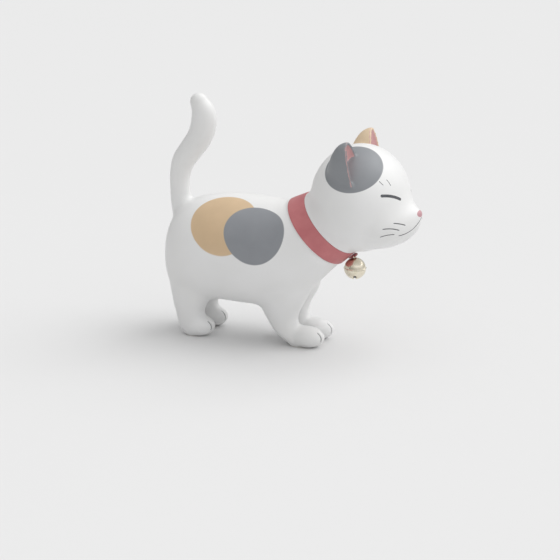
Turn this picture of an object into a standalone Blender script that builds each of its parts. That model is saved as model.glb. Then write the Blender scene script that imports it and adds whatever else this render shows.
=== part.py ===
"""A standing ceramic cat figurine, built as the pieces it is assembled from.

The body with its legs, the head with its ears, and the tail are three castings.
A strap collar covers the neck seam, and a round bell with a loose pellet hangs
from a folded tab at the throat.

Frame: +X towards the nose, +Y the cat's left, +Z up, origin at the bottom centre
of the bounding box.  Metres.
"""
import math

import bmesh
import bpy
import numpy as np
from mathutils import Matrix, Vector

MM = 0.001

# Driving dimensions of the whole figurine, in millimetres until scaled by MM.
MID_X = 21.4            # the anatomy is laid out from between the paws; this is the box's middle
WALL = 3.5              # thickness of the cast ceramic wall
SEAM_GAP = 0.3          # play kept between two pieces that touch

# Neck and collar: a slightly conical ring that leans with the neck.
NECK_X, NECK_Z = 56.4, 131.5
NECK_ANGLE = math.radians(41.6)     # the neck axis above the horizontal
NECK_SKEW = -0.155                  # how far the ring's centre drifts down per step along the axis
STRAP_RADIUS = 42.4                 # outside radius at the middle of the strap
STRAP_TAPER = -0.165                # change of radius per step towards the head
STRAP_WIDTH = 19.0
STRAP_THICK = 1.9
SEAT_PLAY = 0.35                    # radial play under the strap
SPIGOT_DEPTH = 9.0
SPIGOT_WALL = 3.4
SPIGOT_PLAY = 0.9                   # radial play between the spigot and the neck's bore
SPIGOT_ROOT = 6.0                   # how far the spigot reaches up into the head
BORE_REACH = 24.0                   # how far the bore through the spigot reaches into the skull
SEAT_MARGIN = 0.4                   # extra width of the seat at each edge of the strap
SEAT_CLEARANCE = 12.0

# Ribs of the trunk: top x, top z, bottom x, bottom z, half width.
TRUNK_RIBS = (
    (-121.2, 94, -121.2, 88, 4),
    (-120.2, 110, -120.0, 72, 19),
    (-116.5, 127, -116.5, 57, 30),
    (-107.0, 141, -108.0, 46, 38),
    (-88.0, 152.0, -90.0, 41, 44.5),
    (-58.0, 158.5, -60.0, 41.5, 48),
    (-28.0, 159.8, -28.0, 40.5, 49),
    (-4.0, 158.4, 8.0, 42, 48.5),
    (7.0, 157.0, 36.0, 55, 47),
)
NECK_PROUD = 0.9        # how far the ceramic neck stands out beyond the strap's seat
NECK_RIBS = (-14.0, -7.0, 0.0, 7.0, 13.0)
THROAT_RIBS = (-18.0, -9.0, 0.0, 9.0)
HOLLOW_NECK_RIBS = (-9.5, 0.0, 7.0)
BELLY_SQUARE = 2.5      # the underside of the trunk is squarer than an ellipse

# Slices of one leg, left side: z, centre x, centre y, half length, half width.
FORE_LEG = (
    (-3.0, 34.0, 15.6, 6.0, 5.0),
    (5.0, 31.0, 15.6, 11.5, 10.5),
    (14.0, 23.4, 15.8, 15.6, 12.8),
    (24.0, 17.4, 16.6, 16.1, 13.6),
    (35.0, 14.7, 17.4, 19.6, 15.0),
    (46.0, 15.2, 18.0, 24.0, 16.8),
    (60.0, 18.6, 17.8, 27.6, 18.5),
    (78.0, 21.0, 14.0, 25.0, 16.0),
)
HIND_LEG = (
    (-3.0, -87.5, 18.7, 5.0, 5.0),
    (4.0, -89.5, 18.7, 11.5, 10.5),
    (13.0, -91.0, 18.8, 14.5, 12.8),
    (24.0, -92.0, 19.2, 15.8, 14.0),
    (34.0, -92.2, 19.2, 18.4, 15.4),
    (46.0, -90.5, 18.8, 22.5, 16.8),
    (60.0, -91.0, 18.0, 24.0, 18.0),
    (78.0, -88.0, 14.0, 22.0, 16.0),
)
# Paws: centre x, y, z, then half length, width and height.
FORE_PAW = (43.0, 15.6, 11.0, 20.2, 13.4, 12.0)
HIND_PAW = (-83.0, 18.7, 11.0, 19.6, 13.4, 12.0)

# Tail: path x, z and radius, from inside the rump to the tip.
TAIL_PATH = (
    (-104.0, 128.0, 14.0),
    (-108.5, 144.0, 12.2),
    (-110.4, 160.0, 11.2),
    (-110.0, 176.0, 11.6),
    (-105.5, 191.0, 12.6),
    (-96.0, 204.5, 13.2),
    (-86.5, 218.0, 13.8),
    (-81.2, 233.0, 14.2),
    (-81.5, 246.0, 13.2),
)
TAIL_TIP = (-86.3, 257.0, 10.0)     # centre and radius of the rounded tip
TAIL_FLATNESS = 0.86                # side-to-side size over fore-and-aft size
TAIL_CUT = (-106.5, 141.5)          # a point on the seam between rump and tail
TAIL_CUT_ANGLE = math.radians(40.0)
TENON_RADIUS = 5.5
TENON_DEPTH = 9.0
TENON_ROOT = 4.0                    # how far the tenon starts inside the tail
SOCKET_ROOM = 12.0                  # how far the socket runs on past the tenon's end

# Head: the skull as centre x, y, z, then radii, and ribs that run forward to the nose.
SKULL = (97.5, 0.0, 166.8, 52.6, 56.5, 57.2)
FACE_RIBS = (
    (100.0, 190, 100.0, 118, 46),
    (122.0, 186, 122.0, 115, 46.5),
    (138.0, 177, 138.0, 119, 39),
    (149.0, 168.5, 149.0, 124.8, 28.5),
    (156.5, 162.5, 156.5, 131.5, 18),
    (161.5, 159, 161.5, 139.5, 9.5),
    (164.3, 157.5, 164.3, 148, 4),
)
# Ribs between the collar and the skull: distance along the neck, rise over the seat, half width.
NAPE = (
    (-6.0, 0.9, None),
    (0.0, 0.9, None),
    (8.0, 0.9, None),
    (12.0, 1.9, 41.5),
    (18.0, 3.6, 45.0),
    (27.0, 5.0, 48.5),
    (38.0, 2.0, 46.0),
)
EAR_BASE = (104.5, 36.5, 195.0)     # middle of the ear's rim where it meets the skull
EAR_TIP = (96.6, 47.2, 231.1)
EAR_HALF_WIDTH = 22.0
EAR_TAPER = 0.2                     # share of the width lost from base to tip
EAR_DEPTH = 32.5
EAR_DEPTH_TAPER = 0.42
EAR_ROUNDNESS = 2.8                 # the higher, the blunter the tip
EAR_RIM = 2.6                       # thickness of the lip round the hollow
EAR_HOLLOW = 9.0
EAR_LEAN = (0.15, 0.62, -0.77)      # direction along the ear's base, down the side of the skull
# Nose: centre x, y, z, then radii.
NOSE = (160.4, 0.0, 154.8, 4.4, 7.0, 3.7)

# Bell: two pressed cups, a wire bail that hangs in the tab's fold, and a pellet.
PIVOT = (92.0, 0.0, 103.2)          # middle of the fold, where the bail's bar turns
BELL_DROP = 14.6                    # from the fold to the bell's centre
BELL_RADIUS = 11.7
CUP_WALL = 0.7
CUP_RIM = 0.5                       # how far the crimped rim stands out
CUP_RIM_HEIGHT = 0.9
CUP_SHOULDER = 1.3                  # height at which the cup's wall meets the rim
CUP_GAP = 0.3
BAIL_HOLE = 1.35
BAIL_WIRE = 0.45
BAIL_HALF_WIDTH = 5.1
PELLET_RADIUS = 2.9
SLOT_HALF_WIDTH = 0.9
SLOT_END_RADIUS = 1.8
SLOT_END_ANGLE = math.radians(52.0)  # from straight down
SLOT_TURN = math.radians(-18.0)      # of the slot from side to side
TAB_HALF_WIDTH = 4.4
TAB_THICK = 0.9
TAB_REACH = 8.0                     # how far the tab lies along the strap
FOLD_RADIUS = 1.5
FOLD_HOLE = 0.85

VENT_X = -30.0
VENT_RADIUS = 4.5
VENT_LOW, VENT_HIGH = 20.0, 60.0

# How each casting's skin is grown: voxel size, rounds of smoothing, triangles kept.
BODY_SKIN = (2.2, 16, 3000)
TAIL_SKIN = (2.0, 6, 900)
HEAD_SKIN = (2.0, 14, 2500)
BLOCK = 0.5             # side of the blocks that trim at a plane, in metres

FINISHES = {
    "glaze_white": ((0.83, 0.83, 0.82), 0.32, 0.0),
    "strap_rose": ((0.56, 0.17, 0.18), 0.45, 0.0),
    "tab_red": ((0.30, 0.05, 0.06), 0.5, 0.0),
    "bell_gold": ((0.80, 0.76, 0.62), 0.22, 1.0),
    "bell_steel": ((0.45, 0.45, 0.45), 0.35, 1.0),
}


def clear_scene():
    """Remove every object, so the script can be run twice."""
    for item in list(bpy.data.objects):
        bpy.data.objects.remove(item, do_unlink=True)


def make_collection(name):
    """Return a new collection linked to the scene."""
    group = bpy.data.collections.new(name)
    bpy.context.scene.collection.children.link(group)
    return group


def make_finish(name):
    """Return a Principled material from the table of finishes."""
    colour, roughness, metallic = FINISHES[name]
    finish = bpy.data.materials.new(name)
    finish.use_nodes = True
    shader = finish.node_tree.nodes["Principled BSDF"]
    shader.inputs["Base Color"].default_value = (*colour, 1.0)
    shader.inputs["Roughness"].default_value = roughness
    shader.inputs["Metallic"].default_value = metallic
    return finish


def place(x, y, z):
    """Turn a point of the anatomy, in millimetres, into the figurine's frame, in metres."""
    return Vector(((x - MID_X) * MM, y * MM, z * MM))


def add_object(name, mesh, group):
    """Link a mesh into a collection as a new object."""
    item = bpy.data.objects.new(name, mesh)
    group.objects.link(item)
    return item


def smooth_rows(rows, steps):
    """Run a Catmull-Rom curve through rows of numbers."""
    keys = np.array(rows, dtype=float)
    padded = np.vstack((2 * keys[0] - keys[1], keys, 2 * keys[-1] - keys[-2]))
    curve = []
    for index in range(len(keys) - 1):
        before, start, end, after = padded[index:index + 4]
        for step in range(steps):
            t = step / steps
            curve.append(0.5 * (2 * start + (end - before) * t
                                + (2 * before - 5 * start + 4 * end - after) * t ** 2
                                + (3 * start - before - 3 * end + after) * t ** 3))
    curve.append(keys[-1])
    return np.array(curve)


def loft(name, rings, group):
    """Skin a closed tube through rings of points and close both ends with a fan."""
    shape = bmesh.new()
    rows = [[shape.verts.new(point) for point in ring] for ring in rings]
    sides = len(rings[0])
    for lower, upper in zip(rows, rows[1:]):
        for side in range(sides):
            following = (side + 1) % sides
            shape.faces.new((lower[side], lower[following], upper[following], upper[side]))
    for row in (rows[0], rows[-1]):
        pole = shape.verts.new(sum((vertex.co for vertex in row), Vector()) / sides)
        for side in range(sides):
            shape.faces.new((row[side], row[(side + 1) % sides], pole))
    bmesh.ops.recalc_face_normals(shape, faces=shape.faces)
    mesh = bpy.data.meshes.new(name)
    shape.to_mesh(mesh)
    shape.free()
    return add_object(name, mesh, group)


def oval(centre, across, along, sides, square=2.0):
    """Return the points of an ellipse from its centre and two half axes.

    The lower half may be squarer than an ellipse, whose power is 2.
    """
    points = []
    for side in range(sides):
        angle = math.tau * side / sides
        power = 2.0 / (square if math.sin(angle) < 0 else 2.0)
        wide = math.copysign(abs(math.cos(angle)) ** power, math.cos(angle))
        high = math.copysign(abs(math.sin(angle)) ** power, math.sin(angle))
        points.append(centre + across * wide + along * high)
    return points


def neck_axes():
    """Return the neck's axis and the direction up its back."""
    axis = Vector((math.cos(NECK_ANGLE), 0.0, math.sin(NECK_ANGLE)))
    rise = Vector((-math.sin(NECK_ANGLE), 0.0, math.cos(NECK_ANGLE)))
    return axis, rise


def neck_centre(along):
    """Return the centre of the neck at a distance along its axis, in millimetres of anatomy."""
    axis, rise = neck_axes()
    return Vector((NECK_X, 0.0, NECK_Z)) + axis * along + rise * (NECK_SKEW * along)


def seat_radius(along):
    """Return the radius of the turned seat under the strap."""
    return STRAP_RADIUS + STRAP_TAPER * along - STRAP_THICK - SEAT_PLAY


def neck_rib(along, proud, half_width=None):
    """Return a trunk rib that follows the neck, standing a little proud of the seat."""
    axis, rise = neck_axes()
    centre = neck_centre(along)
    radius = seat_radius(along) + proud
    top = centre + rise * radius
    bottom = centre - rise * radius
    return (top.x, top.z, bottom.x, bottom.z, half_width or radius)


def trunk_rings(ribs, steps, sides, inset, square=2.0):
    """Turn ribs into oval rings, drawn in by the wall for the inner surface."""
    rings = []
    for top_x, top_z, bottom_x, bottom_z, half_width in smooth_rows(ribs, steps):
        top = place(top_x, 0.0, top_z)
        bottom = place(bottom_x, 0.0, bottom_z)
        reach = (top - bottom) / 2
        reach = reach * max(1.0 - inset * MM / reach.length, 0.05)
        across = Vector((0.0, max(half_width - inset, 1.0) * MM, 0.0))
        rings.append(oval((top + bottom) / 2, across, reach, sides, square))
    return rings


def neck_frame():
    """Return the matrix whose Z runs along the neck axis and whose Y runs up its back."""
    axis, rise = neck_axes()
    side = rise.cross(axis)
    turn = Matrix((side, rise, axis)).transposed().to_4x4()
    skew = Matrix.Identity(4)
    skew[1][2] = NECK_SKEW
    return Matrix.Translation(place(NECK_X, 0.0, NECK_Z)) @ turn @ skew


def bake(item):
    """Replace an object's mesh by its evaluated one and drop its modifiers."""
    depsgraph = bpy.context.evaluated_depsgraph_get()
    mesh = bpy.data.meshes.new_from_object(item.evaluated_get(depsgraph))
    item.modifiers.clear()
    item.data = mesh
    mesh.transform(item.matrix_world)
    item.matrix_world = Matrix.Identity(4)
    return item


def turned(name, profile, segments, group, matrix=None):
    """Turn a closed profile of radius and height pairs round Z with a Screw modifier."""
    mesh = bpy.data.meshes.new(name)
    count = len(profile)
    points = [(radius * MM, 0.0, height * MM) for radius, height in profile]
    closed = profile[0][0] > 0 or profile[-1][0] > 0
    edges = [(index, index + 1) for index in range(count - 1)]
    if closed:
        edges.append((count - 1, 0))
    mesh.from_pydata(points, edges, [])
    item = add_object(name, mesh, group)
    screw = item.modifiers.new("turn", "SCREW")
    screw.steps = segments
    screw.render_steps = segments
    screw.use_merge_vertices = True
    screw.merge_threshold = 0.00001
    screw.use_normal_calculate = False
    bpy.context.view_layer.update()
    bake(item)
    shape = bmesh.new()
    shape.from_mesh(item.data)
    bmesh.ops.recalc_face_normals(shape, faces=shape.faces)
    shape.to_mesh(item.data)
    shape.free()
    if matrix is not None:
        item.data.transform(matrix)
    return item


def ball(name, centre, radii, detail, group, inset=0.0):
    """Return an ellipsoid from a UV sphere, given in millimetres of anatomy."""
    shape = bmesh.new()
    bmesh.ops.create_uvsphere(shape, u_segments=detail, v_segments=detail // 2, radius=1.0)
    size = Matrix.Diagonal([(radius - inset) * MM for radius in radii] + [1.0])
    bmesh.ops.transform(shape, matrix=Matrix.Translation(place(*centre)) @ size, verts=shape.verts)
    mesh = bpy.data.meshes.new(name)
    shape.to_mesh(mesh)
    shape.free()
    return add_object(name, mesh, group)


def rod(name, start, end, radius, segments, group):
    """Return a plain cylinder between two points in the figurine's frame, radius in millimetres."""
    shape = bmesh.new()
    length = (end - start).length
    bmesh.ops.create_cone(shape, cap_ends=True, segments=segments, radius1=radius * MM,
                          radius2=radius * MM, depth=length)
    turn = Vector((0.0, 0.0, 1.0)).rotation_difference(end - start).to_matrix().to_4x4()
    bmesh.ops.transform(shape, matrix=Matrix.Translation((start + end) / 2) @ turn, verts=shape.verts)
    mesh = bpy.data.meshes.new(name)
    shape.to_mesh(mesh)
    shape.free()
    return add_object(name, mesh, group)


def half_space(name, point, normal, group):
    """Return a big block whose one face passes through a point, on the side of the normal."""
    shape = bmesh.new()
    bmesh.ops.create_cube(shape, size=1.0)
    turn = Vector((0.0, 0.0, 1.0)).rotation_difference(normal).to_matrix().to_4x4()
    outward = Matrix.Translation((0.0, 0.0, BLOCK / 2)) @ Matrix.Scale(BLOCK, 4)
    block = Matrix.Translation(point) @ turn @ outward
    bmesh.ops.transform(shape, matrix=block, verts=shape.verts)
    mesh = bpy.data.meshes.new(name)
    shape.to_mesh(mesh)
    shape.free()
    return add_object(name, mesh, group)


def hide_cutter(item):
    """Show a cutter as wire only."""
    item.hide_render = True
    item.display_type = "WIRE"


def combine(item, other, operation):
    """Apply an exact Boolean with another object, kept as a cutter."""
    cut = item.modifiers.new(operation.lower(), "BOOLEAN")
    cut.operation = operation
    cut.object = other
    hide_cutter(other)
    bpy.context.view_layer.update()
    return bake(item)


def fuse(name, pieces, growth, group):
    """Grow overlapping forms into one skin, soften the joins and thin the triangles."""
    voxel, rounds, triangles = growth
    shape = bmesh.new()
    for piece in pieces:
        shape.from_mesh(piece.data)
        hide_cutter(piece)
    mesh = bpy.data.meshes.new(name)
    shape.to_mesh(mesh)
    shape.free()
    item = add_object(name, mesh, group)
    skin = item.modifiers.new("skin", "REMESH")
    skin.mode = "VOXEL"
    skin.voxel_size = voxel * MM
    soften = item.modifiers.new("soften", "SMOOTH")
    soften.factor = 0.5
    soften.iterations = rounds
    bpy.context.view_layer.update()
    bake(item)
    item.data.calc_loop_triangles()
    thin = item.modifiers.new("thin", "DECIMATE")
    thin.ratio = triangles / len(item.data.loop_triangles)
    thin.use_symmetry = True
    thin.symmetry_axis = "Y"
    bpy.context.view_layer.update()
    return bake(item)


def leg(name, slices, side, group):
    """Loft one leg through level slices."""
    rings = []
    for z, centre_x, centre_y, half_length, half_width in smooth_rows(slices, 4):
        across = Vector((half_length * MM, 0.0, 0.0))
        along = Vector((0.0, half_width * MM, 0.0))
        rings.append(oval(place(centre_x, side * centre_y, z), across, along, 28))
    return loft(name, rings, group)


def tail_rings():
    """Loft the tail along its bend and round its tip."""
    rows = smooth_rows(TAIL_PATH + (TAIL_TIP,), 5)
    rings = []
    for index, (x, z, radius) in enumerate(rows):
        ahead = rows[min(index + 1, len(rows) - 1)]
        behind = rows[max(index - 1, 0)]
        heading = Vector((ahead[0] - behind[0], 0.0, ahead[1] - behind[1])).normalized()
        across = Vector((heading.z, 0.0, -heading.x)) * radius * MM
        along = Vector((0.0, radius * TAIL_FLATNESS * MM, 0.0))
        rings.append(oval(place(x, 0.0, z), across, along, 24))
    tip_steps = 5
    x, z, radius = TAIL_TIP
    for step in range(1, tip_steps):
        angle = math.pi / 2 * step / tip_steps
        centre = place(x, 0.0, z) + heading * radius * MM * math.sin(angle)
        small = radius * math.cos(angle) * MM
        across = Vector((heading.z, 0.0, -heading.x)) * small
        rings.append(oval(centre, across, Vector((0.0, small * TAIL_FLATNESS, 0.0)), 24))
    return rings


def ear_ring(t, side, sides):
    """Return one ring of an ear: round behind, hollow in front inside its lip."""
    swell = max((1.0 - t ** EAR_ROUNDNESS) ** 0.5, 0.1)
    centre = Vector(EAR_BASE).lerp(Vector(EAR_TIP), t)
    half_width = EAR_HALF_WIDTH * swell * (1.0 - EAR_TAPER * t)
    depth = EAR_DEPTH * swell * (1.0 - EAR_DEPTH_TAPER * t)
    mouth = max(1.0 - EAR_RIM / half_width, 0.05)
    hollow = EAR_HOLLOW * (1.0 - t ** 3)
    ring = []
    for index in range(sides):
        angle = math.tau * index / sides
        across = math.cos(angle)
        push = depth * math.sin(angle)
        if push < 0:
            push = hollow * max(1.0 - (across / mouth) ** 2, 0.0) ** 0.6
        point = centre + Vector(EAR_LEAN) * (half_width * across) - Vector((push, 0.0, 0.0))
        ring.append(place(point.x, side * point.y, point.z))
    return ring


def ear(name, side, group):
    """Loft one ear from its base to its blunt tip."""
    steps = 14
    rings = [ear_ring(step / steps, side, 32) for step in range(steps + 1)]
    return loft(name, rings, group)


def neck_plane(offset, towards_head, name, group):
    """Return a block that trims away everything on one side of the neck seam."""
    axis, _ = neck_axes()
    point = place(*neck_centre(offset))
    return half_space(name, point, axis if towards_head else -axis, group)


def seat_cutter(group):
    """Return the ring that turns the collar's seat into the neck."""
    half = STRAP_WIDTH / 2 + SEAT_MARGIN
    outer = STRAP_RADIUS + SEAT_CLEARANCE
    profile = [(outer, half), (outer, -half), (seat_radius(-half), -half), (seat_radius(half), half)]
    return turned("cut_collar_seat", profile, 72, group, neck_frame())


def ground_cutter(group):
    """Return the block under the floor that gives the paws their flat soles."""
    return half_space("cut_ground", Vector((0.0, 0.0, 0.0)), Vector((0.0, 0.0, -1.0)), group)


def tail_plane(name, offset, upwards, group):
    """Return a block that trims at the seam between rump and tail."""
    normal = Vector((-math.sin(TAIL_CUT_ANGLE), 0.0, math.cos(TAIL_CUT_ANGLE)))
    point = place(TAIL_CUT[0], 0.0, TAIL_CUT[1]) + normal * offset * MM
    return half_space(name, point, normal if upwards else -normal, group)


def tenon_ends(start, end):
    """Return two points on the tail tenon's axis, measured down from the seam."""
    normal = Vector((-math.sin(TAIL_CUT_ANGLE), 0.0, math.cos(TAIL_CUT_ANGLE)))
    point = place(TAIL_CUT[0], 0.0, TAIL_CUT[1])
    return point - normal * start * MM, point - normal * end * MM


def make_limbs(forms):
    """Return the four legs and paws as overlapping forms."""
    pieces = []
    for side, word in ((1, "left"), (-1, "right")):
        pieces.append(leg("form_fore_leg_" + word, FORE_LEG, side, forms))
        pieces.append(leg("form_hind_leg_" + word, HIND_LEG, side, forms))
        for label, (x, y, z, *radii) in (("fore", FORE_PAW), ("hind", HIND_PAW)):
            name = "form_" + label + "_paw_" + word
            pieces.append(ball(name, (x, side * y, z), radii, 24, forms))
    return pieces


def all_ribs():
    """Return the trunk's ribs with the neck's own ribs after them."""
    return TRUNK_RIBS + tuple(neck_rib(along, NECK_PROUD) for along in NECK_RIBS)


def make_body_shell(forms, parts):
    """Cast the hollow trunk and its four legs, open at the neck."""
    first_neck_rib = neck_rib(NECK_RIBS[0], NECK_PROUD)
    trunk_skin = trunk_rings(TRUNK_RIBS + (first_neck_rib,), 5, 40, 0.0, BELLY_SQUARE)
    trunk = loft("form_trunk", trunk_skin, forms)
    throat_ribs = [neck_rib(along, NECK_PROUD) for along in THROAT_RIBS]
    throat = loft("form_throat", trunk_rings(throat_ribs, 3, 40, 0.0), forms)
    root = loft("form_tail_root", tail_rings(), forms)
    body = fuse("body_shell", [trunk, throat, root] + make_limbs(forms), BODY_SKIN, parts)
    combine(body, tail_plane("cut_body_at_tail", 0.0, True, forms), "DIFFERENCE")
    combine(body, ground_cutter(forms), "DIFFERENCE")
    combine(body, seat_cutter(forms), "DIFFERENCE")
    combine(body, neck_plane(0.0, True, "cut_body_at_neck", forms), "DIFFERENCE")
    hollow_ribs = all_ribs()[2:-4] + tuple(neck_rib(along, 0.0) for along in HOLLOW_NECK_RIBS)
    hollow = loft("cut_body_hollow", trunk_rings(hollow_ribs, 3, 28, WALL), forms)
    combine(body, hollow, "DIFFERENCE")
    vent_low = place(VENT_X, 0.0, VENT_LOW)
    vent_high = place(VENT_X, 0.0, VENT_HIGH)
    combine(body, rod("cut_vent", vent_low, vent_high, VENT_RADIUS, 20, forms), "DIFFERENCE")
    high, low = tenon_ends(-TENON_ROOT, TENON_DEPTH + SOCKET_ROOM)
    socket = rod("cut_tail_socket", high, low, TENON_RADIUS + SEAM_GAP, 20, forms)
    combine(body, socket, "DIFFERENCE")
    return body


def make_tail(forms, parts):
    """Cast the solid tail with a tenon that plugs into the rump."""
    blank = loft("form_tail", tail_rings(), forms)
    tail = fuse("tail", [blank], TAIL_SKIN, parts)
    combine(tail, tail_plane("cut_tail_at_rump", SEAM_GAP, False, forms), "DIFFERENCE")
    high, low = tenon_ends(-TENON_ROOT, TENON_DEPTH)
    combine(tail, rod("form_tenon", high, low, TENON_RADIUS, 20, forms), "UNION")
    return tail


def make_head_shell(forms, parts):
    """Cast the hollow head with its ears, and a spigot that plugs into the neck."""
    nape_ribs = [neck_rib(along, proud, half_width) for along, proud, half_width in NAPE]
    pieces = [
        loft("form_nape", trunk_rings(nape_ribs, 3, 40, 0.0), forms),
        loft("form_face", trunk_rings(FACE_RIBS, 4, 40, 0.0), forms),
        ball("form_skull", SKULL[:3], SKULL[3:], 48, forms),
        ball("form_nose", NOSE[:3], NOSE[3:], 24, forms),
    ]
    pieces += [ear("form_ear_left", 1, forms), ear("form_ear_right", -1, forms)]
    head = fuse("head_shell", pieces, HEAD_SKIN, parts)
    combine(head, seat_cutter(forms), "DIFFERENCE")
    combine(head, neck_plane(SEAM_GAP, False, "cut_head_at_neck", forms), "DIFFERENCE")
    outer = seat_radius(0.0) - WALL - SPIGOT_PLAY
    spigot = rod("form_spigot", place(*neck_centre(-SPIGOT_DEPTH)), place(*neck_centre(SPIGOT_ROOT)),
                 outer, 48, forms)
    combine(head, spigot, "UNION")
    bore = rod("cut_head_bore", place(*neck_centre(-SPIGOT_DEPTH - 5.0)), place(*neck_centre(BORE_REACH)),
               outer - SPIGOT_WALL, 40, forms)
    hollow = ball("cut_head_hollow", SKULL[:3], SKULL[3:], 28, forms, WALL + 0.5)
    combine(hollow, bore, "UNION")
    combine(head, hollow, "DIFFERENCE")
    return head


def make_collar_strap(forms, parts):
    """Turn the strap as a thin conical band with eased edges."""
    half = STRAP_WIDTH / 2
    ease = 0.6
    def outer(height):
        return STRAP_RADIUS + STRAP_TAPER * height
    def inner(height):
        return outer(height) - STRAP_THICK
    profile = [(outer(half) - ease, half), (outer(half - ease), half - ease),
               (outer(0.0) + 0.15, 0.0),
               (outer(ease - half), ease - half), (outer(-half) - ease, -half),
               (inner(-half), -half), (inner(half), half)]
    return turned("collar_strap", profile, 72, parts, neck_frame())


def arc(radius, start, end, steps):
    """Return radius and height pairs along an arc of angles measured up from the equator."""
    angles = (start + (end - start) * step / steps for step in range(steps + 1))
    return [(radius * math.cos(angle), radius * math.sin(angle)) for angle in angles]


def bell_centre():
    """Return the middle of the bell in the figurine's frame."""
    return place(PIVOT[0], 0.0, PIVOT[2] - BELL_DROP)


def make_upper_cup(parts):
    """Turn the upper cup, with a crimped rim and a hole for the bail."""
    inner = BELL_RADIUS - CUP_WALL
    low = CUP_GAP / 2
    rim_radius = BELL_RADIUS + CUP_RIM
    rim = [(rim_radius, CUP_RIM_HEIGHT), (rim_radius, low), (inner, low)]
    outer_arc = arc(BELL_RADIUS, math.acos(BAIL_HOLE / BELL_RADIUS), math.asin(CUP_SHOULDER / BELL_RADIUS), 8)
    inner_arc = arc(inner, math.asin(1.0 / inner), math.acos(BAIL_HOLE / inner), 6)
    place_bell = Matrix.Translation(bell_centre())
    return turned("bell_upper_cup", outer_arc + rim + inner_arc, 32, parts, place_bell)


def make_lower_cup(forms, parts):
    """Turn the lower cup and cut its sounding slot with a round hole at each end."""
    inner = BELL_RADIUS - CUP_WALL
    low = -CUP_GAP / 2
    start = math.asin(low / BELL_RADIUS)
    outer_arc = arc(BELL_RADIUS, start, -math.pi / 2, 9)
    inner_arc = arc(inner, -math.pi / 2, math.asin(low / inner), 7)
    outer_arc[-1] = (0.0, -BELL_RADIUS)
    inner_arc[0] = (0.0, -inner)
    centre = bell_centre()
    cup = turned("bell_lower_cup", outer_arc + inner_arc, 32, parts, Matrix.Translation(centre))
    heading = Vector((math.sin(SLOT_TURN), math.cos(SLOT_TURN), 0.0))
    reach = BELL_RADIUS * math.sin(SLOT_END_ANGLE) * MM
    shape = bmesh.new()
    bmesh.ops.create_cube(shape, size=1.0)
    size = Matrix.Diagonal((2 * SLOT_HALF_WIDTH * MM, 2 * reach, 12.0 * MM, 1.0))
    turn = Matrix.Rotation(-SLOT_TURN, 4, "Z")
    drop = Matrix.Translation(centre - Vector((0.0, 0.0, (6.0 + BELL_RADIUS * 0.5) * MM)))
    bmesh.ops.transform(shape, matrix=drop @ turn @ size, verts=shape.verts)
    mesh = bpy.data.meshes.new("cut_slot")
    shape.to_mesh(mesh)
    shape.free()
    combine(cup, add_object("cut_slot", mesh, forms), "DIFFERENCE")
    for sign in (1, -1):
        out = heading * sign * math.sin(SLOT_END_ANGLE) - Vector((0.0, 0.0, math.cos(SLOT_END_ANGLE)))
        near = centre + out * (BELL_RADIUS - 3.0) * MM
        far = centre + out * (BELL_RADIUS + 3.0) * MM
        hole = rod("cut_slot_end_" + ("left" if sign > 0 else "right"), near, far,
                   SLOT_END_RADIUS, 16, forms)
        combine(cup, hole, "DIFFERENCE")
    return cup


def make_pellet(parts):
    """Return the loose ball at rest on the bottom of the bell."""
    rest = BELL_RADIUS - CUP_WALL - SEAM_GAP - PELLET_RADIUS
    x, _, z = PIVOT
    centre = (x, 0.0, z - BELL_DROP - rest)
    return ball("bell_pellet", centre, (PELLET_RADIUS,) * 3, 16, parts)


def make_bail(parts):
    """Bend the wire that turns in the fold and is spread inside the upper cup."""
    pivot = place(*PIVOT)
    top = BELL_RADIUS - BELL_DROP       # the top of the bell, measured from the fold
    half = BAIL_HALF_WIDTH
    side = [
        (half - 0.9, 0.0),
        (half - 0.25, -0.28),
        (half, -0.9),
        (half - 0.2, top + 1.15),
        (half - 1.0, top + 0.75),
        (1.6, top + 0.75),
        (0.85, top + 0.55),
        (0.62, top - 0.1),
        (0.75, top - 1.4),
        (1.7, top - 2.0),
        (3.0, top - 2.3),
    ]
    route = [(-y, z) for y, z in reversed(side)] + side
    curve = bpy.data.curves.new("bell_bail", "CURVE")
    curve.dimensions = "3D"
    curve.bevel_depth = BAIL_WIRE * MM
    curve.bevel_resolution = 2
    curve.use_fill_caps = True
    spline = curve.splines.new("POLY")
    spline.points.add(len(route) - 1)
    for point, (y, z) in zip(spline.points, route):
        point.co = (pivot.x, y * MM, pivot.z + z * MM, 1.0)
    return add_object("bell_bail", curve, parts)


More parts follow.
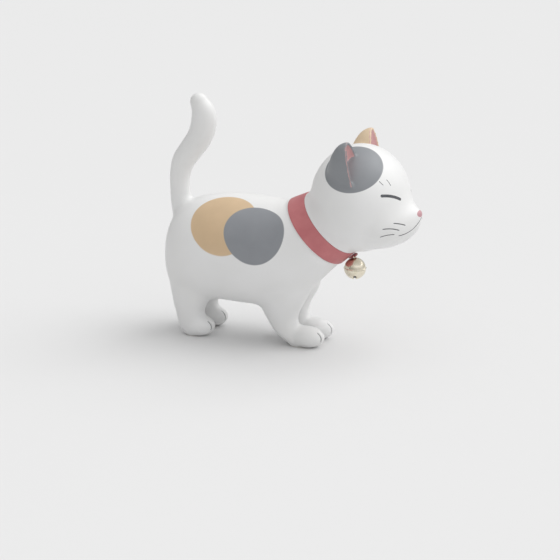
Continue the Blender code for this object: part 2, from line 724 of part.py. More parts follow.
def make_tab(forms, parts):
    """Extrude the folded tab: a wedge on the strap that runs round the bail's bar."""
    axis, rise = neck_axes()
    out = -rise
    edge = neck_centre(STRAP_WIDTH / 2) + out * (STRAP_RADIUS + STRAP_TAPER * STRAP_WIDTH / 2)
    start = neck_centre(STRAP_WIDTH / 2 - TAB_REACH)
    start = start + out * (STRAP_RADIUS + STRAP_TAPER * (STRAP_WIDTH / 2 - TAB_REACH))
    along = (edge - start).normalized()
    lift = Vector((along.z, 0.0, -along.x))
    pivot = Vector(PIVOT)
    outline = [
        start + lift * SEAM_GAP,
        edge - along * 0.5 + lift * SEAM_GAP,
    ]
    first = math.atan2(-along.x, along.z) + math.pi / 2
    for step in range(9):
        angle = first + math.radians(110.0) - math.radians(200.0) * step / 8
        outline.append(pivot + Vector((math.cos(angle), 0.0, math.sin(angle))) * FOLD_RADIUS)
    outline.append(start + lift * (SEAM_GAP + TAB_THICK))
    shape = bmesh.new()
    wide = Vector((0.0, TAB_HALF_WIDTH * MM, 0.0))
    near = [shape.verts.new(place(*point) - wide) for point in outline]
    face = shape.faces.new(near)
    grown = bmesh.ops.extrude_face_region(shape, geom=[face])
    moved = [item for item in grown["geom"] if isinstance(item, bmesh.types.BMVert)]
    bmesh.ops.translate(shape, verts=moved, vec=wide * 2)
    bmesh.ops.recalc_face_normals(shape, faces=shape.faces)
    mesh = bpy.data.meshes.new("bell_tab")
    shape.to_mesh(mesh)
    shape.free()
    tab = add_object("bell_tab", mesh, parts)
    reach = Vector((0.0, 10.0 * MM, 0.0))
    hole = rod("cut_fold", place(*PIVOT) - reach, place(*PIVOT) + reach, FOLD_HOLE, 16, forms)
    return combine(tab, hole, "DIFFERENCE")


def main():
    """Build every piece and give it its finish."""
    clear_scene()
    parts = make_collection("ceramic_cat_figurine")
    forms = make_collection("cutters_and_forms")
    finishes = {name: make_finish(name) for name in FINISHES}
    made = (
        (make_body_shell(forms, parts), "glaze_white"),
        (make_head_shell(forms, parts), "glaze_white"),
        (make_tail(forms, parts), "glaze_white"),
        (make_collar_strap(forms, parts), "strap_rose"),
        (make_tab(forms, parts), "tab_red"),
        (make_bail(parts), "bell_gold"),
        (make_upper_cup(parts), "bell_gold"),
        (make_lower_cup(forms, parts), "bell_gold"),
        (make_pellet(parts), "bell_steel"),
    )
    for item, finish in made:
        item.data.materials.clear()
        item.data.materials.append(finishes[finish])


main()
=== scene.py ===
"""The looks of a ceramic cat figurine with a strap collar and a swinging bell.

The castings are grown from lofted ribs, fused, and softened the way slip smooths a
joint.  Paint is laid on as glaze colour in the material and as thin enamel strokes.
Lengths in the classes are millimetres; meshes are metres in the frame's own axes.
"""
from __future__ import annotations

import logging
import math
from dataclasses import dataclass, field, replace
from enum import Enum

import bmesh
import bpy
import numpy as np
from mathutils import Matrix, Vector
from mathutils.bvhtree import BVHTree


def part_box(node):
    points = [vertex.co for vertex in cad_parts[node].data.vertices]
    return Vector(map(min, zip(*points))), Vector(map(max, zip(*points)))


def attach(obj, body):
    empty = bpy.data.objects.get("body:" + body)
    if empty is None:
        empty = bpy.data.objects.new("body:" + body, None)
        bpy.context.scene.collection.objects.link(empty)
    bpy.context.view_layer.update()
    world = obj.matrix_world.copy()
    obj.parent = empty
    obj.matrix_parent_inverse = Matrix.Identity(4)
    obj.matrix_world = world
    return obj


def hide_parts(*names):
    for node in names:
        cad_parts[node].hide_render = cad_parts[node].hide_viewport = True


MM = 0.001
LOG = logging.getLogger("figurine")
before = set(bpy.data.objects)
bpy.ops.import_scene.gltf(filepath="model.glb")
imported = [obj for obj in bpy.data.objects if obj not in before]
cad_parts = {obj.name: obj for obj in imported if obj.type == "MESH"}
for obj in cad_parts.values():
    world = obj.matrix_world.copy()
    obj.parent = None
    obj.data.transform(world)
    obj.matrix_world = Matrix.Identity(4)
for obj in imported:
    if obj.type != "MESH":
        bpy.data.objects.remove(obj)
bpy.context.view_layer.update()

Row = tuple[float, ...]


class Side(Enum):
    """The cat's left and right, as the sign of Y."""

    LEFT = 1
    RIGHT = -1

    @property
    def word(self) -> str:
        """Return the side's name for a piece's name."""
        return self.name.lower()


class Part(Enum):
    """The bodies that pieces ride on."""

    FIGURINE = "figurine"
    BELL = "bell"
    PELLET = "pellet"


# ---------------------------------------------------------------- bench tools


@dataclass(frozen=True)
class Layout:
    """Where the anatomy's zero lies in the frame, and the neck's ring."""

    mid_x: float = 21.4
    neck_x: float = 56.4
    neck_z: float = 131.5
    neck_angle: float = math.radians(41.6)
    neck_skew: float = -0.155
    strap_radius: float = 42.4
    strap_taper: float = -0.165
    strap_width: float = 19.0
    strap_thick: float = 1.9
    seat_play: float = 0.35

    def place(self, x: float, y: float, z: float) -> Vector:
        """Turn a point of the anatomy in millimetres into the frame in metres."""
        return Vector(((x - self.mid_x) * MM, y * MM, z * MM))

    def axis(self) -> Vector:
        """Return the direction of the neck, from the trunk to the head."""
        return Vector((math.cos(self.neck_angle), 0.0, math.sin(self.neck_angle)))

    def rise(self) -> Vector:
        """Return the direction up the back of the neck, square to its axis."""
        return Vector((-math.sin(self.neck_angle), 0.0, math.cos(self.neck_angle)))

    def centre(self, along: float) -> Vector:
        """Return the neck ring's centre at a distance along the neck, in millimetres."""
        start = Vector((self.neck_x, 0.0, self.neck_z))
        return start + self.axis() * along + self.rise() * (self.neck_skew * along)

    def strap_outer(self, along: float) -> float:
        """Return the strap's outside radius at a distance along the neck."""
        return self.strap_radius + self.strap_taper * along

    def seat(self, along: float) -> float:
        """Return the radius of the neck under the strap."""
        return self.strap_outer(along) - self.strap_thick - self.seat_play

    def rib(self, along: float, proud: float, half_width: float | None = None) -> Row:
        """Return a trunk rib that follows the neck.

        Args:
            along: Distance along the neck from the middle of the strap.
            proud: How far the rib stands out from the seat.
            half_width: Half the rib's width, or None for a round rib.

        Returns:
            Top x, top z, bottom x, bottom z and half width.
        """
        radius = self.seat(along) + proud
        top = self.centre(along) + self.rise() * radius
        bottom = self.centre(along) - self.rise() * radius
        return (top.x, top.z, bottom.x, bottom.z, half_width or radius)

    def matrix(self) -> Matrix:
        """Return the frame of the neck, whose Z is its axis and whose Y runs up its back.

        Returns:
            The frame as a matrix.
        """
        turn = Matrix((self.rise().cross(self.axis()), self.rise(), self.axis())).transposed().to_4x4()
        skew = Matrix.Identity(4)
        skew[1][2] = self.neck_skew
        return Matrix.Translation(self.place(self.neck_x, 0.0, self.neck_z)) @ turn @ skew


LAYOUT = Layout()


def new_object(name: str, mesh: bpy.types.Mesh) -> bpy.types.Object:
    """Link a mesh into the scene as a new object.

    Args:
        name: The new object's name.
        mesh: The mesh to show.

    Returns:
        The new object.
    """
    item = bpy.data.objects.new(name, mesh)
    bpy.context.scene.collection.objects.link(item)
    return item


def drop(*items: bpy.types.Object) -> None:
    """Remove working objects that aren't part of the figurine."""
    for item in items:
        bpy.data.objects.remove(item, do_unlink=True)


def bake(item: bpy.types.Object) -> bpy.types.Object:
    """Apply an object's modifiers to its mesh.

    Args:
        item: The object whose modifiers are applied.

    Returns:
        The same object.
    """
    depsgraph = bpy.context.evaluated_depsgraph_get()
    mesh = bpy.data.meshes.new_from_object(item.evaluated_get(depsgraph))
    item.modifiers.clear()
    item.data = mesh
    return item


def from_bmesh(name: str, shape: bmesh.types.BMesh) -> bpy.types.Object:
    """Turn a working mesh into an object and free it.

    Args:
        name: The new object's name.
        shape: The working mesh, which is freed.

    Returns:
        The new object.
    """
    mesh = bpy.data.meshes.new(name)
    shape.to_mesh(mesh)
    shape.free()
    return new_object(name, mesh)


def smooth_rows(rows: tuple[Row, ...], steps: int) -> np.ndarray:
    """Run a Catmull-Rom curve through rows of numbers.

    Args:
        rows: The rows that the curve passes through.
        steps: How many points each stretch between two rows gets.

    Returns:
        One row for each point of the curve.
    """
    keys = np.array(rows, dtype=float)
    padded = np.vstack((2 * keys[0] - keys[1], keys, 2 * keys[-1] - keys[-2]))
    curve = []
    for index in range(len(keys) - 1):
        before, start, end, after = padded[index:index + 4]
        for step in range(steps):
            t = step / steps
            curve.append(0.5 * (2 * start + (end - before) * t
                                + (2 * before - 5 * start + 4 * end - after) * t ** 2
                                + (3 * start - before - 3 * end + after) * t ** 3))
    curve.append(keys[-1])
    return np.array(curve)


def loft(name: str, rings: list[list[Vector]]) -> bpy.types.Object:
    """Skin a closed tube through rings of points, with a fan at both ends.

    Args:
        name: The new object's name.
        rings: The rings of points in order, all with as many points.

    Returns:
        The closed tube.
    """
    shape = bmesh.new()
    rows = [[shape.verts.new(point) for point in ring] for ring in rings]
    sides = len(rings[0])
    for lower, upper in zip(rows, rows[1:]):
        for side in range(sides):
            following = (side + 1) % sides
            shape.faces.new((lower[side], lower[following], upper[following], upper[side]))
    for row in (rows[0], rows[-1]):
        pole = shape.verts.new(sum((vertex.co for vertex in row), Vector()) / sides)
        for side in range(sides):
            shape.faces.new((row[side], row[(side + 1) % sides], pole))
    bmesh.ops.recalc_face_normals(shape, faces=shape.faces)
    return from_bmesh(name, shape)


def oval(centre: Vector, across: Vector, along: Vector, sides: int, square: float = 2.0) -> list[Vector]:
    """Return the points of an ellipse whose lower half may be squarer.

    Args:
        centre: The middle of the ellipse.
        across: Its first half axis.
        along: Its second half axis.
        sides: How many points to return.
        square: The power of the lower half; 2 is an ellipse.

    Returns:
        The points in order.
    """
    points = []
    for side in range(sides):
        angle = math.tau * side / sides
        power = 2.0 / (square if math.sin(angle) < 0 else 2.0)
        wide = math.copysign(abs(math.cos(angle)) ** power, math.cos(angle))
        high = math.copysign(abs(math.sin(angle)) ** power, math.sin(angle))
        points.append(centre + across * wide + along * high)
    return points


def rib_rings(ribs: tuple[Row, ...], steps: int, sides: int, inset: float = 0.0,
              square: float = 2.0) -> list[list[Vector]]:
    """Turn ribs into oval rings, drawn in by a wall for an inner surface.

    Args:
        ribs: Rows of top x and z, bottom x and z, and half width.
        steps: How many rings each stretch between two ribs gets.
        sides: How many points a ring has.
        inset: How far each ring is drawn in, in millimetres.
        square: The power of the lower half; 2 is an ellipse.

    Returns:
        The rings in order.
    """
    rings = []
    for top_x, top_z, bottom_x, bottom_z, half_width in smooth_rows(ribs, steps):
        top = LAYOUT.place(top_x, 0.0, top_z)
        bottom = LAYOUT.place(bottom_x, 0.0, bottom_z)
        reach = (top - bottom) / 2
        reach = reach * max(1.0 - inset * MM / reach.length, 0.05)
        across = Vector((0.0, max(half_width - inset, 1.0) * MM, 0.0))
        rings.append(oval((top + bottom) / 2, across, reach, sides, square))
    return rings


def ellipsoid(name: str, centre: Row, radii: Row, segments: int, inset: float = 0.0) -> bpy.types.Object:
    """Return an ellipsoid given in millimetres of anatomy.

    Args:
        name: The new object's name.
        centre: Its centre.
        radii: Its three radii.
        segments: How many segments it has round its height.
        inset: How much smaller each radius is made.

    Returns:
        The ellipsoid.
    """
    shape = bmesh.new()
    bmesh.ops.create_uvsphere(shape, u_segments=segments, v_segments=segments // 2, radius=1.0)
    size = Matrix.Diagonal([(radius - inset) * MM for radius in radii] + [1.0])
    bmesh.ops.transform(shape, matrix=Matrix.Translation(LAYOUT.place(*centre)) @ size, verts=shape.verts)
    return from_bmesh(name, shape)


def rod(name: str, start: Vector, end: Vector, radius: float, segments: int) -> bpy.types.Object:
    """Return a cylinder between two points in metres, its radius in millimetres.

    Args:
        name: The new object's name.
        start: The middle of one end.
        end: The middle of the other end.
        radius: The radius.
        segments: How many sides it has.

    Returns:
        The cylinder.
    """
    shape = bmesh.new()
    bmesh.ops.create_cone(shape, cap_ends=True, segments=segments, radius1=radius * MM,
                          radius2=radius * MM, depth=(end - start).length)
    turn = Vector((0.0, 0.0, 1.0)).rotation_difference(end - start).to_matrix().to_4x4()
    bmesh.ops.transform(shape, matrix=Matrix.Translation((start + end) / 2) @ turn, verts=shape.verts)
    return from_bmesh(name, shape)


def combine(item: bpy.types.Object, other: bpy.types.Object, operation: str) -> bpy.types.Object:
    """Apply an exact Boolean with another object and drop that object.

    Args:
        item: The object that is changed.
        other: The object that is joined or cut away.
        operation: UNION or DIFFERENCE.

    Returns:
        The changed object.
    """
    cut = item.modifiers.new("cut", "BOOLEAN")
    cut.operation = operation
    cut.object = other
    bpy.context.view_layer.update()
    bake(item)
    drop(other)
    return item


def trim(item: bpy.types.Object, point: Vector, normal: Vector) -> None:
    """Cut away what lies on the normal's side of a plane and close the cut flat.

    Args:
        item: The object to cut.
        point: A point of the plane, in metres.
        normal: The plane's direction, towards what is cut away.
    """
    shape = bmesh.new()
    shape.from_mesh(item.data)
    geometry = shape.verts[:] + shape.edges[:] + shape.faces[:]
    cut = bmesh.ops.bisect_plane(shape, geom=geometry, plane_co=point, plane_no=normal,
                                 clear_outer=True, dist=1e-7)
    rim = [part for part in cut["geom_cut"] if isinstance(part, bmesh.types.BMEdge)]
    bmesh.ops.contextual_create(shape, geom=rim)
    bmesh.ops.recalc_face_normals(shape, faces=shape.faces)
    shape.to_mesh(item.data)
    shape.free()


def fuse(name: str, forms: list[bpy.types.Object], voxel: float) -> bpy.types.Object:
    """Grow overlapping forms into one even skin and drop the forms.

    Args:
        name: The new object's name.
        forms: The overlapping forms, which are dropped.
        voxel: The step of the new skin in millimetres.

    Returns:
        The fused skin.
    """
    shape = bmesh.new()
    for form in forms:
        shape.from_mesh(form.data)
    drop(*forms)
    item = from_bmesh(name, shape)
    skin = item.modifiers.new("skin", "REMESH")
    skin.mode = "VOXEL"
    skin.voxel_size = voxel * MM
    bpy.context.view_layer.update()
    return bake(item)


@dataclass
class Skin:
    """The vertices of a mesh with their neighbours, for smoothing by hand."""

    item: bpy.types.Object
    points: np.ndarray = field(init=False)
    edges: np.ndarray = field(init=False)
    valence: np.ndarray = field(init=False)

    def __post_init__(self) -> None:
        """Read the mesh's points and edges."""
        mesh = self.item.data
        self.points = np.empty(len(mesh.vertices) * 3)
        mesh.vertices.foreach_get("co", self.points)
        self.points = self.points.reshape(-1, 3)
        self.edges = np.empty(len(mesh.edges) * 2, dtype=np.int64)
        mesh.edges.foreach_get("vertices", self.edges)
        self.edges = self.edges.reshape(-1, 2)
        self.valence = np.bincount(self.edges.ravel(), minlength=len(self.points)).clip(1)

    def pull(self) -> np.ndarray:
        """Return the step from each point to the mean of its neighbours.

        Returns:
            One step for each point, in metres.
        """
        first, second = self.edges.T
        total = np.empty_like(self.points)
        for column in range(3):
            values = self.points[:, column]
            total[:, column] = (np.bincount(first, values[second], len(values))
                                + np.bincount(second, values[first], len(values)))
        return total / self.valence[:, None] - self.points

    def normals(self) -> np.ndarray:
        """Return the vertex normals of the points as they are now.

        Returns:
            One unit normal for each point.
        """
        self.write()
        found = np.empty(len(self.points) * 3, dtype=np.float32)
        self.item.data.vertex_normals.foreach_get("vector", found)
        return found.reshape(-1, 3).astype(float)

    def even_out(self, rounds: int) -> None:
        """Smooth the voxel steps away without shrinking the form."""
        for _ in range(rounds):
            self.points += 0.5 * self.pull()
            self.points -= 0.52 * self.pull()

    def relax(self, rounds: int, weight: np.ndarray) -> None:
        """Smooth a weighted region, which also shrinks it a little."""
        share = 0.5 * weight[:, None]
        for _ in range(rounds):
            self.points += share * self.pull()

    def fill_creases(self, rounds: int, weight: np.ndarray) -> None:
        """Fill hollow creases like slip in a joint, and leave rounded forms alone.

        Args:
            rounds: How many passes to make; the fillet grows with their square root.
            weight: One value for each point, 0 where nothing is filled.
        """
        for index in range(rounds):
            if index % 5 == 0:
                normals = self.normals()
            pull = self.pull()
            hollow = np.clip((pull * normals).sum(1), 0.0, None)
            self.points += (0.6 * weight * hollow)[:, None] * normals

    def tuck(self, box: tuple[Vector, Vector], reach: float = 9.0) -> None:
        """Ease the outermost points in, so that the skin ends inside a box.

        Args:
            box: The lowest and the highest corner, in metres.
            reach: How deep the easing works, in millimetres.
        """
        for axis in range(3):
            for sign, limit in ((-1.0, box[0][axis]), (1.0, box[1][axis])):
                outward = sign * self.points[:, axis]
                over = outward.max() - sign * limit
                if over <= 0.0:
                    continue
                start = sign * limit - reach * MM
                share = ramp(outward, start, sign * limit + over)
                self.points[:, axis] -= sign * (over + 0.02 * MM) * share

    def write(self) -> None:
        """Write the points back to the mesh."""
        self.item.data.vertices.foreach_set("co", self.points.astype(np.float32).ravel())
        self.item.data.update()


def ramp(values: np.ndarray, low: float, high: float) -> np.ndarray:
    """Return 0 below low, 1 above high and a smooth step between them."""
    t = np.clip((values - low) / (high - low), 0.0, 1.0)
    return t * t * (3.0 - 2.0 * t)


def shade_smooth(item: bpy.types.Object, sharp_degrees: float) -> None:
    """Shade a mesh smooth and keep edges sharper than an angle."""
    item.data.shade_smooth()
    item.data.set_sharp_from_angle(angle=math.radians(sharp_degrees))


def turned(name: str, profile: list[tuple[float, float]], segments: int,
           matrix: Matrix) -> bpy.types.Object:
    """Turn a closed outline of radius and height pairs round Z.

    Args:
        name: The new object's name.
        profile: Radius and height pairs in millimetres, in order round the outline.
        segments: How many steps the turn has.
        matrix: Where the turned shape goes.

    Returns:
        The turned object.
    """
    shape = bmesh.new()
    rows = []
    for step in range(segments):
        angle = math.tau * step / segments
        row = [shape.verts.new((radius * MM * math.cos(angle), radius * MM * math.sin(angle), height * MM))
               for radius, height in profile]
        rows.append(row)
    count = len(profile)
    for step in range(segments):
        near, far = rows[step], rows[(step + 1) % segments]
        for index in range(count):
            following = (index + 1) % count
            shape.faces.new((near[index], far[index], far[following], near[following]))
    bmesh.ops.remove_doubles(shape, verts=shape.verts, dist=1e-7)
    bmesh.ops.dissolve_degenerate(shape, edges=shape.edges, dist=1e-8)
    bmesh.ops.recalc_face_normals(shape, faces=shape.faces)
    bmesh.ops.transform(shape, matrix=matrix, verts=shape.verts)
    return from_bmesh(name, shape)


# ------------------------------------------------------------------ finishes


class Sheet:
    """A short way to lay out shader nodes on one material."""

    def __init__(self, name: str) -> None:
        """Start a new material with an empty Principled shader.

        Args:
            name: The material's name.
        """
        self.material = bpy.data.materials.new(name)
        self.material.use_nodes = True
        self.nodes = self.material.node_tree.nodes
        self.links = self.material.node_tree.links
        self.shader = self.nodes["Principled BSDF"]
        self.place = self.nodes.new("ShaderNodeTexCoord")

    def set(self, **values: float | tuple[float, ...]) -> None:
        """Set plain values on the shader's sockets, named with underscores for spaces."""
        for name, value in values.items():
            self.shader.inputs[name.replace("_", " ")].default_value = value

    def feed(self, source: bpy.types.NodeSocket, socket: str) -> None:
        """Link a socket to one of the shader's inputs."""
        self.links.new(source, self.shader.inputs[socket])

    def math(self, operation: str, first: object, second: object = 0.0) -> bpy.types.NodeSocket:
        """Return the result of a math node of two sockets or numbers.

        Args:
            operation: The name of the operation.
            first: The first socket, number or colour.
            second: The second socket, number or colour.

        Returns:
            The node's output.
        """
        node = self.nodes.new("ShaderNodeMath")
        node.operation = operation
        for socket, value in zip(node.inputs, (first, second)):
            self._give(socket, value)
        return node.outputs[0]

    def noise(self, scale: float, detail: float = 2.0, roughness: float = 0.5) -> bpy.types.NodeSocket:
        """Return a noise value in object coordinates.

        Args:
            scale: How fine the noise is.
            detail: How many finer layers it has.
            roughness: How strong the finer layers are.

        Returns:
            The node's output.
        """
        node = self.nodes.new("ShaderNodeTexNoise")
        node.inputs["Scale"].default_value = scale
        node.inputs["Detail"].default_value = detail
        node.inputs["Roughness"].default_value = roughness
        self.links.new(self.place.outputs["Object"], node.inputs["Vector"])
        return node.outputs["Fac"]

    def remap(self, value: object, low: float, high: float, to_low: float,
              to_high: float) -> bpy.types.NodeSocket:
        """Return a value mapped from one range to another and held inside it.

        Args:
            value: The socket or number to map.
            low: The start of the first range.
            high: The end of the first range.
            to_low: What the start becomes.
            to_high: What the end becomes.

        Returns:
            The node's output.
        """
        node = self.nodes.new("ShaderNodeMapRange")
        self._give(node.inputs["Value"], value)
        for name, number in (("From Min", low), ("From Max", high), ("To Min", to_low), ("To Max", to_high)):
            node.inputs[name].default_value = number
        return node.outputs[0]

    def mix(self, share: object, first: object, second: object) -> bpy.types.NodeSocket:
        """Return a colour mixed from two by a share.

        Args:
            share: How much of the second colour there is.
            first: The first socket, number or colour.
            second: The second socket, number or colour.

        Returns:
            The mixed colour's socket.
        """
        node = self.nodes.new("ShaderNodeMix")
        node.data_type = "RGBA"
        self._give(node.inputs[0], share)
        self._give(node.inputs[6], first)
        self._give(node.inputs[7], second)
        return node.outputs[2]

    def bump(self, height: object, strength: float, depth: float) -> None:
        """Give the shader a bump of a depth in metres.

        Args:
            height: The socket that gives the height.
            strength: How strong the bump is.
            depth: The depth in metres.
        """
        node = self.nodes.new("ShaderNodeBump")
        node.inputs["Strength"].default_value = strength
        node.inputs["Distance"].default_value = depth
        self._give(node.inputs["Height"], height)
        self.feed(node.outputs[0], "Normal")

    def inside(self, centre: Vector, radii: Row, soft: float, wander: float = 0.0) -> bpy.types.NodeSocket:
        """Return 1 inside an ellipsoid and 0 outside, with a crisp, slightly hand-drawn edge.

        Args:
            centre: The ellipsoid's centre in metres.
            radii: Its radii in millimetres; a very large one makes a cylinder.
            soft: The width of the edge as a share of the radius.
            wander: How far the edge strays, as a share of the radius.

        Returns:
            The mask's socket.
        """
        shift = self.nodes.new("ShaderNodeVectorMath")
        shift.operation = "SUBTRACT"
        self.links.new(self.place.outputs["Object"], shift.inputs[0])
        shift.inputs[1].default_value = centre
        scale = self.nodes.new("ShaderNodeVectorMath")
        scale.operation = "DIVIDE"
        self.links.new(shift.outputs[0], scale.inputs[0])
        scale.inputs[1].default_value = [radius * MM for radius in radii]
        length = self.nodes.new("ShaderNodeVectorMath")
        length.operation = "LENGTH"
        self.links.new(scale.outputs[0], length.inputs[0])
        reach = length.outputs["Value"]
        if wander:
            stray = self.math("MULTIPLY", self.math("SUBTRACT", self.noise(60.0), 0.5), wander)
            reach = self.math("ADD", reach, stray)
        return self.remap(reach, 1.0 - soft, 1.0 + soft, 1.0, 0.0)

    def along(self, source: str, direction: Vector, offset: float) -> bpy.types.NodeSocket:
        """Return how far a place or a normal reaches along a direction, less an offset.

        Args:
            source: Object for the place or Normal for the normal.
            direction: The direction to measure along.
            offset: What is taken away.

        Returns:
            The distance's socket.
        """
        node = self.nodes.new("ShaderNodeVectorMath")
        node.operation = "DOT_PRODUCT"
        self.links.new(self.place.outputs[source], node.inputs[0])
        node.inputs[1].default_value = direction
        return self.math("SUBTRACT", node.outputs["Value"], offset)

    def _give(self, socket: bpy.types.NodeSocket, value: object) -> None:
        """Link a socket to an input, or set the input to a plain value."""
        if isinstance(value, bpy.types.NodeSocket):
            self.links.new(value, socket)
        else:
            socket.default_value = value


Colour = tuple[float, float, float, float]


def paint(tab_leather_with_painted_shade: float, green: float, blue: float) -> Colour:
    """Return a display colour from 0 to 255 as a linear one.

    Args:
        tab_leather_with_painted_shade: The red share.
        green: The green share.
        blue: The blue share.

    Returns:
        The linear colour with full opacity.
    """
    linear = []
    for value in (tab_leather_with_painted_shade, green, blue):
        share = value / 255.0
        linear.append(share / 12.92 if share <= 0.04045 else ((share + 0.055) / 1.055) ** 2.4)
    return (*linear, 1.0)


@dataclass(frozen=True)
class Patch:
    """A painted region: an ellipsoid that the glaze colour fills."""

    centre: Row
    radii: Row
    colour: Colour
    edge: float = 0.012
    wander: float = 0.012

    def mask(self, sheet: Sheet) -> bpy.types.NodeSocket:
        """Return 1 where the paint lies and 0 elsewhere."""
        return sheet.inside(LAYOUT.place(*self.centre), self.radii, self.edge, self.wander)


@dataclass(frozen=True)
class Spot:
    """A painted oval on the right flank, laid on square to a lean back from the side."""

    centre: Row
    half_length: float
    half_height: float
    colour: Colour
    lean: float = math.radians(45.0)
    far_limit: float = -4.0

    def mask(self, sheet: Sheet) -> bpy.types.NodeSocket:
        """Return 1 where the paint lies and 0 elsewhere.

        Args:
            sheet: The material's node layout.

        Returns:
            The mask's socket.
        """
        centre = LAYOUT.place(*self.centre)
        length_way = Vector((1.0, 0.0, 0.0))
        height_way = Vector((0.0, math.sin(self.lean), math.cos(self.lean)))
        reach = []
        for way, half in ((length_way, self.half_length), (height_way, self.half_height)):
            share = sheet.math("DIVIDE", sheet.along("Object", way, centre.dot(way)), half * MM)
            reach.append(sheet.math("MULTIPLY", share, share))
        radius = sheet.math("SQRT", sheet.math("ADD", *reach))
        stray = sheet.math("MULTIPLY", sheet.math("SUBTRACT", sheet.noise(60.0), 0.5), 0.012)
        oval_mask = sheet.remap(sheet.math("ADD", radius, stray), 0.988, 1.012, 1.0, 0.0)
        near = sheet.remap(sheet.along("Object", Vector((0.0, 1.0, 0.0)), self.far_limit * MM),
                           0.0, 0.0004, 1.0, 0.0)
        return sheet.math("MULTIPLY", oval_mask, near)


@dataclass(frozen=True)
class EarBack:
    """Paint on the whole of one ear, down to where it leaves the skull."""

    skull: Row
    centre: Row
    radii: Row
    colour: Colour
    stand_off: float = 0.7

    def mask(self, sheet: Sheet) -> bpy.types.NodeSocket:
        """Return 1 on the ear and 0 elsewhere.

        Args:
            sheet: The material's node layout.

        Returns:
            The mask's socket.
        """
        ear = sheet.inside(LAYOUT.place(*self.centre), self.radii, 0.02)
        radii = tuple(radius + self.stand_off for radius in self.skull[3:])
        skull = sheet.inside(LAYOUT.place(*self.skull[:3]), radii, 0.004)
        return sheet.math("MULTIPLY", ear, sheet.math("SUBTRACT", 1.0, skull))


@dataclass(frozen=True)
class EarHollow:
    """Paint in the hollow of one ear, behind the plane of its lip."""

    ear: EarBack
    base: Row
    normal: Vector
    colour: Colour
    behind: float = 1.1

    def mask(self, sheet: Sheet) -> bpy.types.NodeSocket:
        """Return 1 on the hollow's forward-facing skin and 0 elsewhere.

        Args:
            sheet: The material's node layout.

        Returns:
            The mask's socket.
        """
        x, y, z = self.base
        base = LAYOUT.place(x, math.copysign(y, self.ear.centre[1]), z)
        depth = sheet.along("Object", self.normal, base.dot(self.normal) - self.behind * MM)
        deep = sheet.remap(depth, -0.0005, 0.0005, 1.0, 0.0)
        facing = sheet.remap(sheet.along("Normal", Vector((1.0, 0.0, 0.0)), 0.0), 0.02, 0.12, 0.0, 1.0)
        return sheet.math("MULTIPLY", self.ear.mask(sheet), sheet.math("MULTIPLY", deep, facing))


@dataclass(frozen=True)
class Glaze:
    """A satin white glaze with painted patches and bare clay under the feet."""

    name: str
    patches: tuple[Patch | Spot | EarBack | EarHollow, ...] = ()
    white: Colour = paint(236, 236, 236)
    shade: Colour = paint(231, 231, 230)
    biscuit: Colour = paint(205, 196, 182)
    roughness: float = 0.46

    def make(self) -> bpy.types.Material:
        """Lay out the glaze and return its material.

        Returns:
            The finished material.
        """
        sheet = Sheet(self.name)
        drift = sheet.remap(sheet.noise(14.0, 3.0), 0.35, 0.65, 0.0, 1.0)
        colour = sheet.mix(drift, self.white, self.shade)
        for patch in self.patches:
            mask = patch.mask(sheet)
            cloud = sheet.remap(sheet.noise(45.0, 3.0), 0.3, 0.7, 0.0, 1.0)
            deep = tuple(0.93 * value for value in patch.colour[:3]) + (1.0,)
            colour = sheet.mix(mask, colour, sheet.mix(cloud, patch.colour, deep))
        split = sheet.nodes.new("ShaderNodeSeparateXYZ")
        sheet.links.new(sheet.place.outputs["Object"], split.inputs[0])
        bare = sheet.remap(split.outputs[2], 0.0003, 0.0006, 1.0, 0.0)
        sheet.feed(sheet.mix(bare, colour, self.biscuit), "Base Color")
        gloss = sheet.remap(sheet.noise(90.0, 3.0), 0.3, 0.7, self.roughness - 0.03, self.roughness + 0.03)
        sheet.feed(sheet.math("ADD", gloss, sheet.math("MULTIPLY", bare, 0.4)), "Roughness")
        ripple = sheet.math("ADD", sheet.noise(35.0, 1.0), sheet.math("MULTIPLY", sheet.noise(900.0), 0.06))
        sheet.bump(ripple, 0.25, 0.0004)
        sheet.set(Coat_Weight=0.12, Coat_Roughness=0.38, IOR=1.5)
        return sheet.material


@dataclass(frozen=True)
class Strap:
    """Smooth dyed leather with a fine grain."""

    name: str
    face: Colour
    deep: Colour
    grain: float = 0.00003

    def make(self) -> bpy.types.Material:
        """Lay out the leather and return its material.

        Returns:
            The finished material.
        """
        sheet = Sheet(self.name)
        cloud = sheet.remap(sheet.noise(70.0, 4.0), 0.3, 0.7, 0.0, 1.0)
        sheet.feed(sheet.mix(cloud, self.face, self.deep), "Base Color")
        cells = sheet.nodes.new("ShaderNodeTexVoronoi")
        cells.inputs["Scale"].default_value = 1500.0
        sheet.links.new(sheet.place.outputs["Object"], cells.inputs["Vector"])
        sheet.bump(cells.outputs["Distance"], 0.35, self.grain)
        sheet.feed(sheet.remap(cloud, 0.0, 1.0, 0.42, 0.52), "Roughness")
        sheet.set(Sheen_Weight=0.08, Sheen_Roughness=0.4, IOR=1.45)
        return sheet.material


@dataclass(frozen=True)
class Plate:
    """A plated or plain metal with faint wear in its polish."""

    name: str
    bright: Colour
    dull: Colour
    roughness: float

    def make(self) -> bpy.types.Material:
        """Lay out the metal and return its material.

        Returns:
            The finished material.
        """
        sheet = Sheet(self.name)
        wear = sheet.remap(sheet.noise(160.0, 5.0, 0.6), 0.4, 0.7, 0.0, 1.0)
        sheet.feed(sheet.mix(wear, self.bright, self.dull), "Base Color")
        sheet.feed(sheet.remap(wear, 0.0, 1.0, self.roughness, self.roughness + 0.12), "Roughness")
        sheet.bump(sheet.noise(420.0, 3.0), 0.15, 0.00005)
        sheet.set(Metallic=1.0)
        return sheet.material


